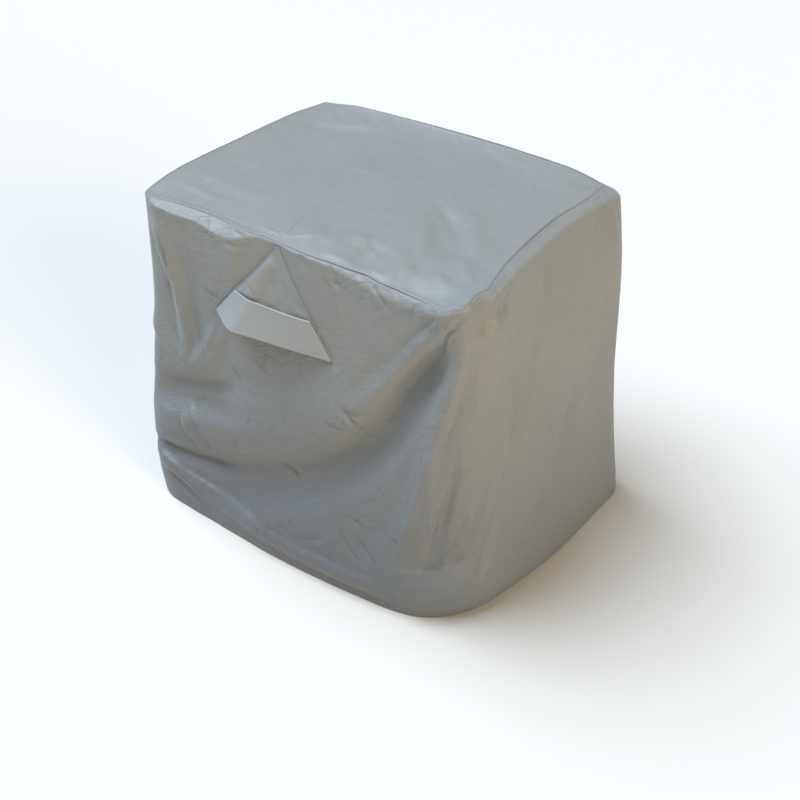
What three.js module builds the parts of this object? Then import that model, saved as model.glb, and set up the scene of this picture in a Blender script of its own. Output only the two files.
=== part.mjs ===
import * as THREE from 'three';

// Fitted cover of an air conditioner, in millimetres, +Z up. It stands open at the bottom, as it hangs over
// the unit: a lid, one wall wrapped round four sides, and an air vent with a turned-up band on the front.
// Front is -Y, right is +X. The origin is the middle of the bounding box's bottom.

// Driving dimensions
const clothThickness = 2;
const seamGap = 0.3;               // between the cloths of a seam
const topHeight = 842;             // nominal height of the lid's seam
const sideLengths = [810, 680, 810, 680];   // of the seam: front, right, back, left, from front left
const girth = sideLengths.reduce((sum, length) => sum + length, 0);
const sideStarts = [0, 1, 2, 3].map((side) => sideLengths.slice(0, side).reduce((a, b) => a + b, 0));
const bendRadius = 11;             // of the wall's cloth over the fold edge
const narrowBend = 0.6;            // its share of the lap where that is narrow
const bendShare = 0.55;            // part of the lap's rows that lies flat, before the bend
const lapEvening = 1.4;            // stretch over which its direction is evened out, as a share of the lap
const crownHeight = 11;            // of the lid above its seam, at the middle
const seamPull = 3.8;              // how soon the lid, going in from its seam, loses the seam's ups and downs

// Plan of the wall, a row for each height: corners, reach of each corner's rounding, bow of each side
const sections = [
  { z: 0, frontLeft: [-446, -56], frontRight: [446, -50], backRight: [590, 702], backLeft: [-476, 712],
    reach: [96, 180, 90, 100], bow: [20, 20, 22, 22] },
  { z: 70, frontLeft: [-458, -52], frontRight: [464, -60], backRight: [574, 708], backLeft: [-480, 716],
    reach: [84, 184, 90, 96], bow: [20, 18, 24, 24] },
  { z: 190, frontLeft: [-468, -42], frontRight: [452, -50], backRight: [544, 704], backLeft: [-470, 712],
    reach: [76, 176, 76, 84], bow: [16, 14, 22, 22] },
  { z: 420, frontLeft: [-444, -22], frontRight: [446, -32], backRight: [498, 700], backLeft: [-452, 704],
    reach: [50, 136, 56, 60], bow: [12, 8, 18, 18] },
  { z: 640, frontLeft: [-418, -12], frontRight: [432, -16], backRight: [468, 696], backLeft: [-440, 698],
    reach: [34, 74, 40, 40], bow: [12, 2, 12, 14] },
  { z: 836, frontLeft: [-411, -8], frontRight: [411, -8], backRight: [421, 690], backLeft: [-426, 690],
    reach: [20, 18, 24, 20], bow: [0, -12, 8, 10] },
];

// The seam and the fold edge below it, along the girth. lap: wall cloth lying on top, from seam to fold edge;
// drop: how far the fold edge hangs below the seam; lift: the seam above or below its nominal height
const edge = [
  { s: 0, lap: 5, drop: 5, lift: 0 }, { s: 90, lap: 26, drop: 12, lift: 0 },
  { s: 190, lap: 28, drop: 16, lift: -1 }, { s: 250, lap: 24, drop: 22, lift: -2 },
  { s: 310, lap: 8, drop: 9, lift: -3 }, { s: 356, lap: 3, drop: 4, lift: -4 },
  { s: 400, lap: 4, drop: 4, lift: -5 }, { s: 520, lap: 7, drop: 7, lift: -9 },
  { s: 600, lap: 13, drop: 15, lift: -13 }, { s: 680, lap: 11, drop: 15, lift: -19 },
  { s: 745, lap: 9, drop: 11, lift: -16 }, { s: 800, lap: 7, drop: 8, lift: -3 },
  { s: 850, lap: 13, drop: 10, lift: 0 }, { s: 930, lap: 24, drop: 13, lift: 0 },
  { s: 1080, lap: 30, drop: 13, lift: 0 }, { s: 1220, lap: 31, drop: 12, lift: 0 },
  { s: 1350, lap: 28, drop: 13, lift: -1 }, { s: 1470, lap: 36, drop: 19, lift: -2 },
  { s: 1500, lap: 36, drop: 19, lift: 0 }, { s: 1620, lap: 28, drop: 12, lift: 14 },
  { s: 1900, lap: 24, drop: 12, lift: 23 }, { s: 2180, lap: 20, drop: 12, lift: 19 },
  { s: 2300, lap: 14, drop: 9, lift: 7 }, { s: 2450, lap: 12, drop: 8, lift: 12 },
  { s: 2640, lap: 12, drop: 8, lift: 14 }, { s: 2820, lap: 11, drop: 8, lift: 13 },
  { s: 2940, lap: 6, drop: 5, lift: 5 },
];

// How far the fold edge bulges out of the section's plan at each station, dying out at overhangEnd below it
const overhangEnd = 540;
const overhang = [
  { s: 0, out: 0 }, { s: 30, out: 12 }, { s: 66, out: 22 }, { s: 185, out: 20 }, { s: 262, out: 24 },
  { s: 306, out: 12 }, { s: 344, out: 4 }, { s: 395, out: 7 }, { s: 452, out: 11 }, { s: 509, out: 9 },
  { s: 571, out: 9 }, { s: 617, out: 15 }, { s: 656, out: 12 }, { s: 709, out: 15 }, { s: 760, out: 24 },
  { s: 792, out: 10 }, { s: 815, out: 0 }, { s: 855, out: 1 }, { s: 890, out: 14 }, { s: 930, out: 12 },
  { s: 980, out: 8 }, { s: 1100, out: 4 }, { s: 1300, out: 0 }, { s: 1470, out: 5 }, { s: 1500, out: 3 },
  { s: 1640, out: 8 }, { s: 1900, out: 3 }, { s: 2180, out: 9 }, { s: 2290, out: 2 }, { s: 2420, out: 9 },
  { s: 2640, out: 2 }, { s: 2860, out: 8 },
];

// Folds of the wall, each along a curve from [s, height] to [s, height]. via: points that it runs through, or
// bow: how far its middle lies off the straight line, to the left of the way it runs; half: half-width at
// each end; depth: out of the wall, or into it where negative; fade: share of its length over which it dies
// out at each end; lean: which side is wider, as a share of the half-width; round: 0 for a sharp crest, 1 for
// a soft one
const folds = [
  { name: 'swag from the front right corner', from: [800, 820], to: [70, 136],
    via: [[744, 716], [688, 620], [616, 476], [502, 318], [366, 216], [220, 158]], half: [38, 112],
    depth: -30, fade: [0.16, 0.3], lean: 0.15, round: 0.6 },
  { name: 'ridge above the swag', from: [766, 800], to: [480, 420],
    via: [[684, 690], [600, 560]], half: [24, 60],
    depth: 6, fade: [0.2, 0.45], lean: 0.1, round: 0.7 },
  { name: 'crease above that ridge', from: [734, 790], to: [515, 492],
    via: [[626, 650]], half: [16, 34],
    depth: -6, fade: [0.2, 0.45], lean: 0, round: 0.6 },
  { name: 'belly below the vent', from: [170, 350], to: [640, 640], bow: -60, half: [90, 110],
    depth: 13, fade: [0.3, 0.35], lean: 0, round: 0.8 },
  { name: 'left hanging ridge', from: [44, 812], to: [136, 410], bow: 10, half: [30, 40],
    depth: 9, fade: [0.15, 0.35], lean: 0.2, round: 0.6 },
  { name: 'hollow between the left ridges', from: [124, 770], to: [150, 480], bow: 0, half: [48, 36],
    depth: -4, fade: [0.35, 0.3], lean: 0, round: 0.8 },
  { name: 'ridge up to the vent', from: [138, 410], to: [226, 622], bow: -8, half: [40, 34],
    depth: 8, fade: [0.3, 0.35], lean: -0.1, round: 0.7 },
  { name: 'left sag below the ridges', from: [-30, 322], to: [320, 424], bow: -16, half: [60, 76],
    depth: -12, fade: [0.25, 0.35], lean: 0, round: 0.8 },
  { name: 'left belly', from: [0, 240], to: [330, 300], bow: 16, half: [56, 62],
    depth: 13, fade: [0.35, 0.4], lean: 0, round: 0.7 },
  { name: 'left belly, outer fold', from: [128, 335], to: [198, 196], bow: -14, half: [24, 20],
    depth: 8, fade: [0.25, 0.25], lean: 0.3, round: 0.3 },
  { name: 'low fold above the hem', from: [-30, 150], to: [350, 218], bow: -18, half: [24, 40],
    depth: -12, fade: [0.15, 0.5], lean: 0.1, round: 0.4 },
  { name: 'roll above the hem, front', from: [0, 140], to: [680, 72], bow: -34, half: [26, 34],
    depth: 9, fade: [0.12, 0.12], lean: -0.3, round: 0.4 },
  { name: 'roll above the hem, corner', from: [640, 98], to: [900, 168], bow: -22, half: [30, 42],
    depth: 7, fade: [0.3, 0.3], lean: -0.2, round: 0.5 },
  { name: 'hollow above the corner roll', from: [690, 150], to: [880, 225], bow: -14, half: [30, 34],
    depth: -8, fade: [0.35, 0.35], lean: 0, round: 0.7 },
  { name: 'draped corner', from: [950, 806], to: [742, 300],
    via: [[890, 768], [818, 732], [776, 634], [744, 518], [734, 440]], half: [22, 40],
    depth: 8, fade: [0.08, 0.4], lean: -0.1, round: 0.45 },
  { name: 'turn to the right wall', from: [744, 510], to: [636, 66],
    via: [[722, 340], [680, 190]], half: [64, 96],
    depth: 8, fade: [0.25, 0.2], lean: 0.35, round: 0.5 },
  { name: 'hollow inside the draped corner', from: [850, 790], to: [806, 560], bow: -10, half: [34, 44],
    depth: -8, fade: [0.3, 0.4], lean: 0, round: 0.8 },
  { name: 'crease low on the front right', from: [794, 500], to: [780, 250], bow: 0, half: [30, 44],
    depth: -4, fade: [0.3, 0.4], lean: 0, round: 0.8 },
  { name: 'right wall, long fold', from: [1050, 745], to: [900, 132], bow: 22, half: [30, 44],
    depth: -6, fade: [0.25, 0.3], lean: 0.3, round: 0.8 },
  { name: 'right wall, short fold', from: [1136, 824], to: [1100, 690], bow: 0, half: [18, 24],
    depth: -5, fade: [0.3, 0.5], lean: 0, round: 0.6 },
  { name: 'right wall, low fold', from: [1250, 500], to: [1140, 150], bow: 10, half: [34, 46],
    depth: -7, fade: [0.4, 0.35], lean: 0, round: 0.7 },
  { name: 'right wall, belly', from: [1150, 420], to: [1030, 150], bow: 0, half: [60, 70],
    depth: 7, fade: [0.4, 0.4], lean: 0, round: 0.9 },
  { name: 'fold at the back right corner', from: [1386, 846], to: [1456, 655], bow: 10, half: [18, 24],
    depth: 8, fade: [0.2, 0.5], lean: 0.2, round: 0.4 },
  { name: 'back wall, first fold', from: [1640, 800], to: [1560, 120], bow: -16, half: [30, 46],
    depth: -12, fade: [0.3, 0.25], lean: 0, round: 0.5 },
  { name: 'back wall, swag', from: [2244, 800], to: [1730, 230], bow: 80, half: [44, 74],
    depth: -15, fade: [0.15, 0.4], lean: 0.2, round: 0.6 },
  { name: 'back wall, low fold', from: [1800, 330], to: [1720, 40], bow: 8, half: [34, 40],
    depth: -10, fade: [0.4, 0.2], lean: 0, round: 0.6 },
  { name: 'back wall, roll above the hem', from: [1880, 84], to: [2340, 96], bow: 12, half: [30, 30],
    depth: 8, fade: [0.25, 0.25], lean: 0, round: 0.5 },
  { name: 'left wall, first fold', from: [2400, 800], to: [2450, 160], bow: 14, half: [28, 44],
    depth: -11, fade: [0.25, 0.3], lean: 0, round: 0.5 },
  { name: 'left wall, swag', from: [2900, 790], to: [2520, 330], bow: 60, half: [32, 58],
    depth: -13, fade: [0.12, 0.4], lean: 0.2, round: 0.6 },
  { name: 'left wall, low fold', from: [2740, 300], to: [2690, 30], bow: 0, half: [30, 40],
    depth: -9, fade: [0.4, 0.15], lean: 0, round: 0.6 },
];

// Relief of the lid, as folds along curves from [x, y] to [x, y] on its plan
const lidFolds = [
  { name: 'dent by the front edge', from: [40, 34], to: [250, 22], bow: 22, half: [44, 60],
    depth: -7, fade: [0.3, 0.3], lean: 0, round: 0.8 },
  { name: 'dent at the front right', from: [160, 320], to: [300, 110], bow: 0, half: [44, 60],
    depth: -7, fade: [0.3, 0.3], lean: 0, round: 0.7 },
  { name: 'ridge beside it', from: [214, 350], to: [330, 160], bow: 0, half: [30, 40],
    depth: 3, fade: [0.3, 0.3], lean: 0, round: 0.7 },
  { name: 'soft wave at the back left', from: [-390, 520], to: [-180, 600], bow: -26, half: [24, 34],
    depth: -4, fade: [0.3, 0.3], lean: 0, round: 0.6 },
];
const lidFoldMargin = 0.16;        // part of the lid's rise over which its relief dies out towards the seam
const wallFoldStart = 0.03;        // share of the drop over which the wall's folds begin below the fold edge
const foldReach = 200;             // along the girth, the most that a fold spreads past its own ends
const crest = { sharp: 0.05, soft: 0.65, steps: 16 };   // softness at round 0 and 1, steps along a fold

// Air vent, in the wall's own [s, height] coordinates
const vent = {
  apex: [374, 834], lowerLeft: [208, 630], lowerRight: [510, 615],
  hoodRows: [0.05, 0.16, 0.28, 0.4, 0.52],          // shares of the height, from the apex, above the band
  bandRows: [0.635, 0.73, 0.82, 0.91, 1],            // and those that the turned-up band covers
  columns: 12, bandInset: 0.012,   // across the width, and how far the band's ends stay inside the seams
  standOff: 44, flare: 2.4,        // how far the lower edge stands off the wall, and how late it leaves it
  peak: 0.25, peakBlend: 9,        // where along the width it stands off most, and how sharp that ridge is
  seamRise: 1.5,                   // of the sewn edges above the wall
  bandGap: 0.9, rimRise: 8,        // between hood and band, and what the band's free upper rim adds to it
  rimRound: 0.6,                   // how evenly that rise spreads along the rim, 1 for a half wave
};

// Mesh grid. Columns of the wall: the step from one to the next, up to each station. Rows: shares of the way
// from the seam to the end of the bend, and from there to the hem. Rings of the lid: shares from its middle
const columnSteps = [
  { to: 60, step: 20 }, { to: 480, step: 35 }, { to: 720, step: 24 }, { to: 850, step: 18.6 },
  { to: 980, step: 26 }, { to: 1430, step: 50 }, { to: 1550, step: 20 }, { to: 2240, step: 69 },
  { to: 2360, step: 20 }, { to: 2920, step: 56 }, { to: 2980, step: 20 },
];
const lapRows = [0, 0.34, 0.55, 0.78];
const wallRows = [0, 0.045, 0.095, 0.145, 0.2, 0.26, 0.32, 0.38, 0.445, 0.51, 0.575, 0.635, 0.69, 0.74, 0.785,
  0.83, 0.87, 0.91, 0.95, 1];
const lidRings = [1, 0.95, 0.86, 0.74, 0.6, 0.44, 0.27, 0.1];

const clamp = THREE.MathUtils.clamp;
const lerp = THREE.MathUtils.lerp;

// Value at x of a smooth curve through the rows of a table, without overshoot
function curveThrough(xs, ys, x) {
  const slope = xs.slice(1).map((next, i) => (ys[i + 1] - ys[i]) / (next - xs[i]));
  const tangent = ys.map((_, i) => {
    if (i === 0) return slope[0];
    if (i === ys.length - 1) return slope[i - 1];
    const [before, after] = [slope[i - 1], slope[i]];
    return before * after > 0 ? 2 * before * after / (before + after) : 0;
  });
  let i = 0;
  while (i < xs.length - 2 && x >= xs[i + 1]) i += 1;
  const width = xs[i + 1] - xs[i];
  const t = clamp((x - xs[i]) / width, 0, 1);
  return (2 * t ** 3 - 3 * t ** 2 + 1) * ys[i] + (t ** 3 - 2 * t ** 2 + t) * width * tangent[i]
    + (3 * t ** 2 - 2 * t ** 3) * ys[i + 1] + (t ** 3 - t ** 2) * width * tangent[i + 1];
}

const wrapGirth = (s) => ((s % girth) + girth) % girth;

// A table's column as a smooth function of the station, closed round the girth
function roundTheGirth(rows, key) {
  const laps = [-girth, 0, girth].flatMap((turn) => rows.map((row) => [row.s + turn, row[key]]));
  const [xs, ys] = [laps.map(([x]) => x), laps.map(([, y]) => y)];
  return (s) => curveThrough(xs, ys, wrapGirth(s));
}
const lapAt = roundTheGirth(edge, 'lap');
const dropAt = roundTheGirth(edge, 'drop');
const liftAt = roundTheGirth(edge, 'lift');
const overhangAt = roundTheGirth(overhang, 'out');

const sectionHeights = sections.map((row) => row.z);
const cornerNames = ['frontLeft', 'frontRight', 'backRight', 'backLeft'];
const atHeight = (pick, z) => curveThrough(sectionHeights, sections.map(pick), z);

// Point of the wall's plan at station s and height z
function planPoint(s, z) {
  const height = clamp(z, 0, sectionHeights[sectionHeights.length - 1]);
  const station = wrapGirth(s);
  let side = 3;
  while (station < sideStarts[side]) side -= 1;
  const corner = (i) => {
    const name = cornerNames[(i + 4) % 4];
    return new THREE.Vector2(...[0, 1].map((axis) => atHeight((row) => row[name][axis], height)));
  };
  const reach = (i) => atHeight((row) => row.reach[(i + 4) % 4], height);
  const [before, start, end, after] = [corner(side - 1), corner(side), corner(side + 1), corner(side + 2)];
  const way = end.clone().sub(start);
  const length = way.length();
  way.normalize();
  const share = (station - sideStarts[side]) / sideLengths[side];
  const along = share * length;
  // a corner is a quadratic curve from one side to the next, each side drawing its own half
  const bend = (middle, wayIn, wayOut, size, t) => middle.clone()
    .addScaledVector(wayIn, -size * (1 - t) ** 2).addScaledVector(wayOut, size * t ** 2);
  let point = start.clone().addScaledVector(way, along);
  if (along < reach(side)) {
    const wayIn = start.clone().sub(before).normalize();
    point = bend(start, wayIn, way, reach(side), 0.5 + 0.5 * along / reach(side));
  } else if (along > length - reach(side + 1)) {
    const wayOut = after.clone().sub(end).normalize();
    const size = reach(side + 1);
    point = bend(end, way, wayOut, size, 0.5 * (along - length + size) / size);
  }
  const out = atHeight((row) => row.bow[side], height) * Math.sin(Math.PI * share) ** 2
    + overhangAt(station) * THREE.MathUtils.smoothstep(height, overhangEnd, topHeight);
  return point.add(new THREE.Vector2(way.y, -way.x).multiplyScalar(out));
}

function planOutward(s, z) {
  const step = 3;
  const way = planPoint(s + step, z).sub(planPoint(s - step, z)).normalize();
  return new THREE.Vector2(way.y, -way.x);
}

// Points along the middle of a fold
function foldPath({ from, to, via, bow }) {
  const shares = Array.from({ length: crest.steps + 1 }, (_, i) => i / crest.steps);
  if (via) {
    const knots = [from, ...via, to];
    const reach = [0];
    knots.slice(1).forEach(([x, y], i) => {
      reach.push(reach[i] + Math.hypot(x - knots[i][0], y - knots[i][1]));
    });
    const whole = reach[reach.length - 1];
    return shares.map((t) => [0, 1].map((axis) => curveThrough(reach, knots.map((k) => k[axis]), t * whole)));
  }
  const [dx, dy] = [to[0] - from[0], to[1] - from[1]];
  const length = Math.hypot(dx, dy);
  return shares.map((t) => {
    const off = 4 * t * (1 - t) * bow / length;
    return [from[0] + dx * t - dy * off, from[1] + dy * t + dx * off];
  });
}
const foldPaths = new Map([...folds, ...lidFolds].map((fold) => [fold, foldPath(fold)]));

// Height of one fold at a point of its own flat sheet
function foldHeight(fold, x, y) {
  const path = foldPaths.get(fold);
  let best = { distance: Infinity, side: 0, t: 0 };
  for (let i = 0; i < crest.steps; i += 1) {
    const [px, py] = path[i];
    const [qx, qy] = path[i + 1];
    const [dx, dy] = [qx - px, qy - py];
    const u = clamp(((x - px) * dx + (y - py) * dy) / (dx * dx + dy * dy), 0, 1);
    const distance = Math.hypot(x - px - u * dx, y - py - u * dy);
    if (distance < best.distance) {
      best = { distance, side: Math.sign(dx * (y - py) - dy * (x - px)), t: (i + u) / crest.steps };
    }
  }
  const half = lerp(fold.half[0], fold.half[1], best.t) * (1 + fold.lean * best.side);
  const soft = lerp(crest.sharp, crest.soft, fold.round);
  const reached = Math.sqrt(1 + soft * soft) - soft;
  const r = (Math.sqrt((best.distance / half) ** 2 + soft * soft) - soft) / reached;
  if (r >= 1) return 0;
  const fade = THREE.MathUtils.smoothstep(best.t, 0, fold.fade[0])
    * THREE.MathUtils.smoothstep(1 - best.t, 0, fold.fade[1]);
  return fold.depth * fade * (1 - r) ** 2 * (1 + 2 * r);
}

// The folds' stations run past the ends of the girth, so a point is tried on both sides of the start
function wallRelief(s, height) {
  const station = wrapGirth(s);
  const turns = [0, -girth, girth];
  return folds.reduce((sum, fold) => sum + turns.reduce((part, turn) => {
    const low = Math.min(fold.from[0], fold.to[0]) - foldReach;
    const high = Math.max(fold.from[0], fold.to[0]) + foldReach;
    const x = station + turn;
    return x < low || x > high ? part : part + foldHeight(fold, x, height);
  }, 0), 0);
}

// Direction across the lap, evened out round a corner so that a wide lap doesn't cross itself there
function lapOutward(s, z) {
  const spread = lapEvening * lapAt(s);
  const shares = [-1, -0.75, -0.5, -0.25, 0, 0.25, 0.5, 0.75, 1];
  return shares.reduce((sum, share) => sum.add(planOutward(s + spread * share, z)), new THREE.Vector2())
    .normalize();
}

// Outer face of the wall. lap runs from 0 at the seam to 1 at the end of the bend, drop from there to the hem
function wallPoint(s, lap, drop) {
  const width = lapAt(s);
  const fall = dropAt(s);
  const seamHeight = topHeight + liftAt(s);
  const foldHeightHere = seamHeight - fall;
  const radius = Math.min(narrowBend * width, bendRadius);
  const bendEnd = foldHeightHere - radius;
  if (drop > 0) {
    const height = bendEnd * (1 - drop);
    const outward = planOutward(s, height);
    const relief = wallRelief(s, height) * THREE.MathUtils.smoothstep(drop, 0, wallFoldStart);
    const plan = planPoint(s, height).addScaledVector(outward, relief);
    return new THREE.Vector3(plan.x, plan.y, height);
  }
  const outward = lapOutward(s, bendEnd);
  const tilt = fall / width;
  const corner = planPoint(s, foldHeightHere);
  if (lap < bendShare) {
    const across = -width + (width - radius) * lap / bendShare;
    const plan = corner.clone().addScaledVector(outward, across);
    return new THREE.Vector3(plan.x, plan.y, seamHeight - tilt * (across + width));
  }
  const t = (lap - bendShare) / (1 - bendShare);
  const below = planPoint(s, bendEnd).sub(corner);
  const plan = corner.clone().addScaledVector(outward, -radius * (1 - t) ** 2).addScaledVector(below, t ** 2);
  const height = (foldHeightHere + tilt * radius) * (1 - t) ** 2 + foldHeightHere * 2 * t * (1 - t)
    + bendEnd * t ** 2;
  return new THREE.Vector3(plan.x, plan.y, height);
}

const wallPointAtHeight = (s, height) => {
  const radius = Math.min(narrowBend * lapAt(s), bendRadius);
  const bendEnd = topHeight + liftAt(s) - dropAt(s) - radius;
  return wallPoint(s, 1, Math.max(1 - height / bendEnd, 1e-6));
};

// Stations of the wall's columns
const stations = columnSteps.flatMap(({ to, step }, i) => {
  const from = i === 0 ? 0 : columnSteps[i - 1].to;
  const count = Math.round((to - from) / step);
  return Array.from({ length: count }, (_, k) => lerp(from, to, k / count));
});

function meshGeometry(points, index) {
  const geometry = new THREE.BufferGeometry();
  geometry.setAttribute('position', new THREE.Float32BufferAttribute(points.flatMap((p) => [...p]), 3));
  geometry.setIndex(index);
  geometry.computeVertexNormals();
  return geometry;
}

// Closed body of a sheet of cloth from a grid of points on its outer face, rows of equal length. The inner
// face lies one thickness behind it, or along the direction that rowShift gives for a row
function sheetGeometry(rows, { ring, thickness, rowShift = () => null }) {
  const rowCount = rows.length;
  const columnCount = rows[0].length;
  const cells = ring ? columnCount : columnCount - 1;
  const at = (r, c) => rows[clamp(r, 0, rowCount - 1)][ring ? (c + columnCount) % columnCount
    : clamp(c, 0, columnCount - 1)];
  const outer = [];
  const inner = [];
  for (let r = 0; r < rowCount; r += 1) {
    for (let c = 0; c < columnCount; c += 1) {
      const across = at(r, c + 1).clone().sub(at(r, c - 1));
      const down = at(r + 1, c).clone().sub(at(r - 1, c));
      const shift = rowShift(r, across.clone().normalize()) ?? across.cross(down).normalize();
      outer.push(at(r, c));
      inner.push(at(r, c).clone().addScaledVector(shift, thickness));
    }
  }
  const back = outer.length;
  const index = [];
  const quad = (a, b, c, d) => index.push(a, b, d, b, c, d);
  const id = (r, c) => r * columnCount + (c % columnCount);
  for (let c = 0; c < cells; c += 1) {
    for (let r = 0; r < rowCount - 1; r += 1) {
      quad(id(r, c), id(r + 1, c), id(r + 1, c + 1), id(r, c + 1));
      quad(back + id(r, c), back + id(r, c + 1), back + id(r + 1, c + 1), back + id(r + 1, c));
    }
    quad(id(0, c), id(0, c + 1), back + id(0, c + 1), back + id(0, c));
    quad(id(rowCount - 1, c + 1), id(rowCount - 1, c), back + id(rowCount - 1, c),
      back + id(rowCount - 1, c + 1));
  }
  if (!ring) {
    const last = columnCount - 1;
    for (let r = 0; r < rowCount - 1; r += 1) {
      quad(id(r + 1, 0), id(r, 0), back + id(r, 0), back + id(r + 1, 0));
      quad(id(r, last), id(r + 1, last), back + id(r + 1, last), back + id(r, last));
    }
  }
  return meshGeometry([...outer, ...inner], index);
}

// The wall: its seam edge is cut straight down, its hem level with the ground
function wallGeometry() {
  const lapPart = lapRows.map((lap) => stations.map((s) => wallPoint(s, lap, 0)));
  const dropPart = wallRows.map((drop) => stations.map((s) => wallPoint(s, 1, drop)));
  const rows = [...lapPart, ...dropPart];
  const down = new THREE.Vector3(0, 0, -1);
  const rowShift = (row, across) => {
    if (row === 0) return down;
    if (row === rows.length - 1) return new THREE.Vector3(-across.y, across.x, 0).normalize();
    return null;
  };
  return sheetGeometry(rows, { ring: true, thickness: clothThickness, rowShift });
}

// The lid: rings drawn in from the seam, crowned, with its own relief, closed at the middle
function lidGeometry() {
  const seam = stations.map((s) => {
    const inward = lapOutward(s, topHeight).multiplyScalar(-seamGap);
    return wallPoint(s, 0, 0).add(new THREE.Vector3(inward.x, inward.y, 0));
  });
  const seamBox = new THREE.Box3().setFromPoints(seam);
  const center = seamBox.getCenter(new THREE.Vector3()).setZ(topHeight);
  const width = seamBox.max.x - seamBox.min.x;
  const depth = seamBox.max.y - seamBox.min.y;
  const lengths = seam.map((_, i) => seam[(i + 1) % seam.length].distanceTo(seam.at(i - 1)));
  // the seam's level blended from all round, its nearer parts counting more
  const rimLevel = (point) => {
    const weights = seam.map((rim, i) => lengths[i] / Math.hypot(point.x - rim.x, point.y - rim.y) ** 3);
    const total = weights.reduce((sum, weight) => sum + weight, 0);
    return weights.reduce((sum, weight, i) => sum + weight * seam[i].z, 0) / total;
  };
  const rings = lidRings.map((share) => seam.map((rim) => {
    if (share === 1) return rim.clone();
    const point = center.clone().lerp(rim, share);
    const relief = lidFolds.reduce((sum, fold) => sum + foldHeight(fold, point.x, point.y), 0);
    const rise = Math.cos(Math.PI * (point.x - center.x) / width)
      * Math.cos(Math.PI * (point.y - center.y) / depth);
    point.z = topHeight + (rimLevel(point) - topHeight) * (1 - rise) ** seamPull
      + (crownHeight * rise + relief) * THREE.MathUtils.smoothstep(rise, 0, lidFoldMargin);
    return point;
  }));
  const count = seam.length;
  const outer = [...rings.flat(), center.clone().setZ(topHeight + crownHeight)];
  const under = outer.map((point) => point.clone().setZ(point.z - clothThickness));
  const last = outer.length - 1;
  const back = outer.length;
  const index = [];
  const quad = (a, b, c, d) => index.push(a, b, c, a, c, d);
  for (let c = 0; c < count; c += 1) {
    const next = (c + 1) % count;
    for (let r = 0; r < rings.length - 1; r += 1) {
      const [near, far] = [r * count, (r + 1) * count];
      quad(near + c, near + next, far + next, far + c);
      quad(back + near + next, back + near + c, back + far + c, back + far + next);
    }
    const innermost = (rings.length - 1) * count;
    index.push(innermost + c, innermost + next, last);
    index.push(back + innermost + next, back + innermost + c, back + last);
    quad(next, c, back + c, back + next);
  }
  return meshGeometry([...outer, ...under], index);
}

// Stand-off of the vent's hood from the wall, a along the width from the left seam, b down from the apex
function ventStandOff(a, b) {
  const rise = a / vent.peak;
  const fall = (1 - a) / (1 - vent.peak);
  const blend = vent.peakBlend;
  const ridge = -Math.log(Math.exp(-blend * rise) + Math.exp(-blend * fall)) / blend;
  return vent.seamRise + vent.standOff * b ** vent.flare * Math.max(ridge, 0);
}

// Point of the vent, raised above the hood by extra millimetres
function ventPoint(a, b, extra) {
  const leftS = lerp(vent.apex[0], vent.lowerLeft[0], b);
  const leftHeight = lerp(vent.apex[1], vent.lowerLeft[1], b);
  const rightS = lerp(vent.apex[0], vent.lowerRight[0], b);
  const rightHeight = lerp(vent.apex[1], vent.lowerRight[1], b);
  const s = lerp(leftS, rightS, a);
  const height = lerp(leftHeight, rightHeight, a);
  const outward = planOutward(s, height);
  const off = ventStandOff(a, b) + extra + clothThickness;
  return wallPointAtHeight(s, height).add(new THREE.Vector3(outward.x * off, outward.y * off, 0));
}

function ventGrid(rows, inset, extra) {
  return rows.map((b) => Array.from({ length: vent.columns + 1 }, (_, c) => {
    const a = lerp(inset, 1 - inset, c / vent.columns);
    return ventPoint(a, b, extra(a, b));
  }));
}

const hoodGeometry = () => sheetGeometry(ventGrid([...vent.hoodRows, ...vent.bandRows], 0, () => 0),
  { ring: false, thickness: clothThickness });

// The band lies on the hood along its lower edge and stands proud of it along its upper rim
function bandGeometry() {
  const rise = (a, b) => {
    const upward = (1 - b) / (1 - vent.bandRows[0]);
    return clothThickness + vent.bandGap + vent.rimRise * upward * Math.sin(Math.PI * a) ** vent.rimRound;
  };
  return sheetGeometry(ventGrid(vent.bandRows, vent.bandInset, rise),
    { ring: false, thickness: clothThickness });
}

const cloth = (name, color, roughness) => new THREE.MeshStandardMaterial({ name, color, roughness,
  metalness: 0 });
const pieces = [
  { name: 'top_panel', geometry: lidGeometry(), material: cloth('lid cloth', 0xa2a9a8, 0.72) },
  { name: 'wall', geometry: wallGeometry(), material: cloth('wall cloth', 0x8f8e85, 0.75) },
  { name: 'vent_hood', geometry: hoodGeometry(), material: cloth('hood cloth', 0x8d9090, 0.75) },
  { name: 'vent_band', geometry: bandGeometry(), material: cloth('stiffened cloth', 0x9aa09e, 0.65) },
];

const cover = new THREE.Group();
const body = new THREE.Group();
pieces.forEach(({ name, geometry, material }) => {
  const mesh = new THREE.Mesh(geometry, material);
  mesh.name = name;
  body.add(mesh);
});
const box = new THREE.Box3().setFromObject(body);
const middle = box.getCenter(new THREE.Vector3());
body.position.set(-middle.x, -middle.y, -box.min.z);
cover.add(body);

export default cover;
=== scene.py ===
import bpy
import math
import numpy as np
from mathutils import Matrix, Vector


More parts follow.
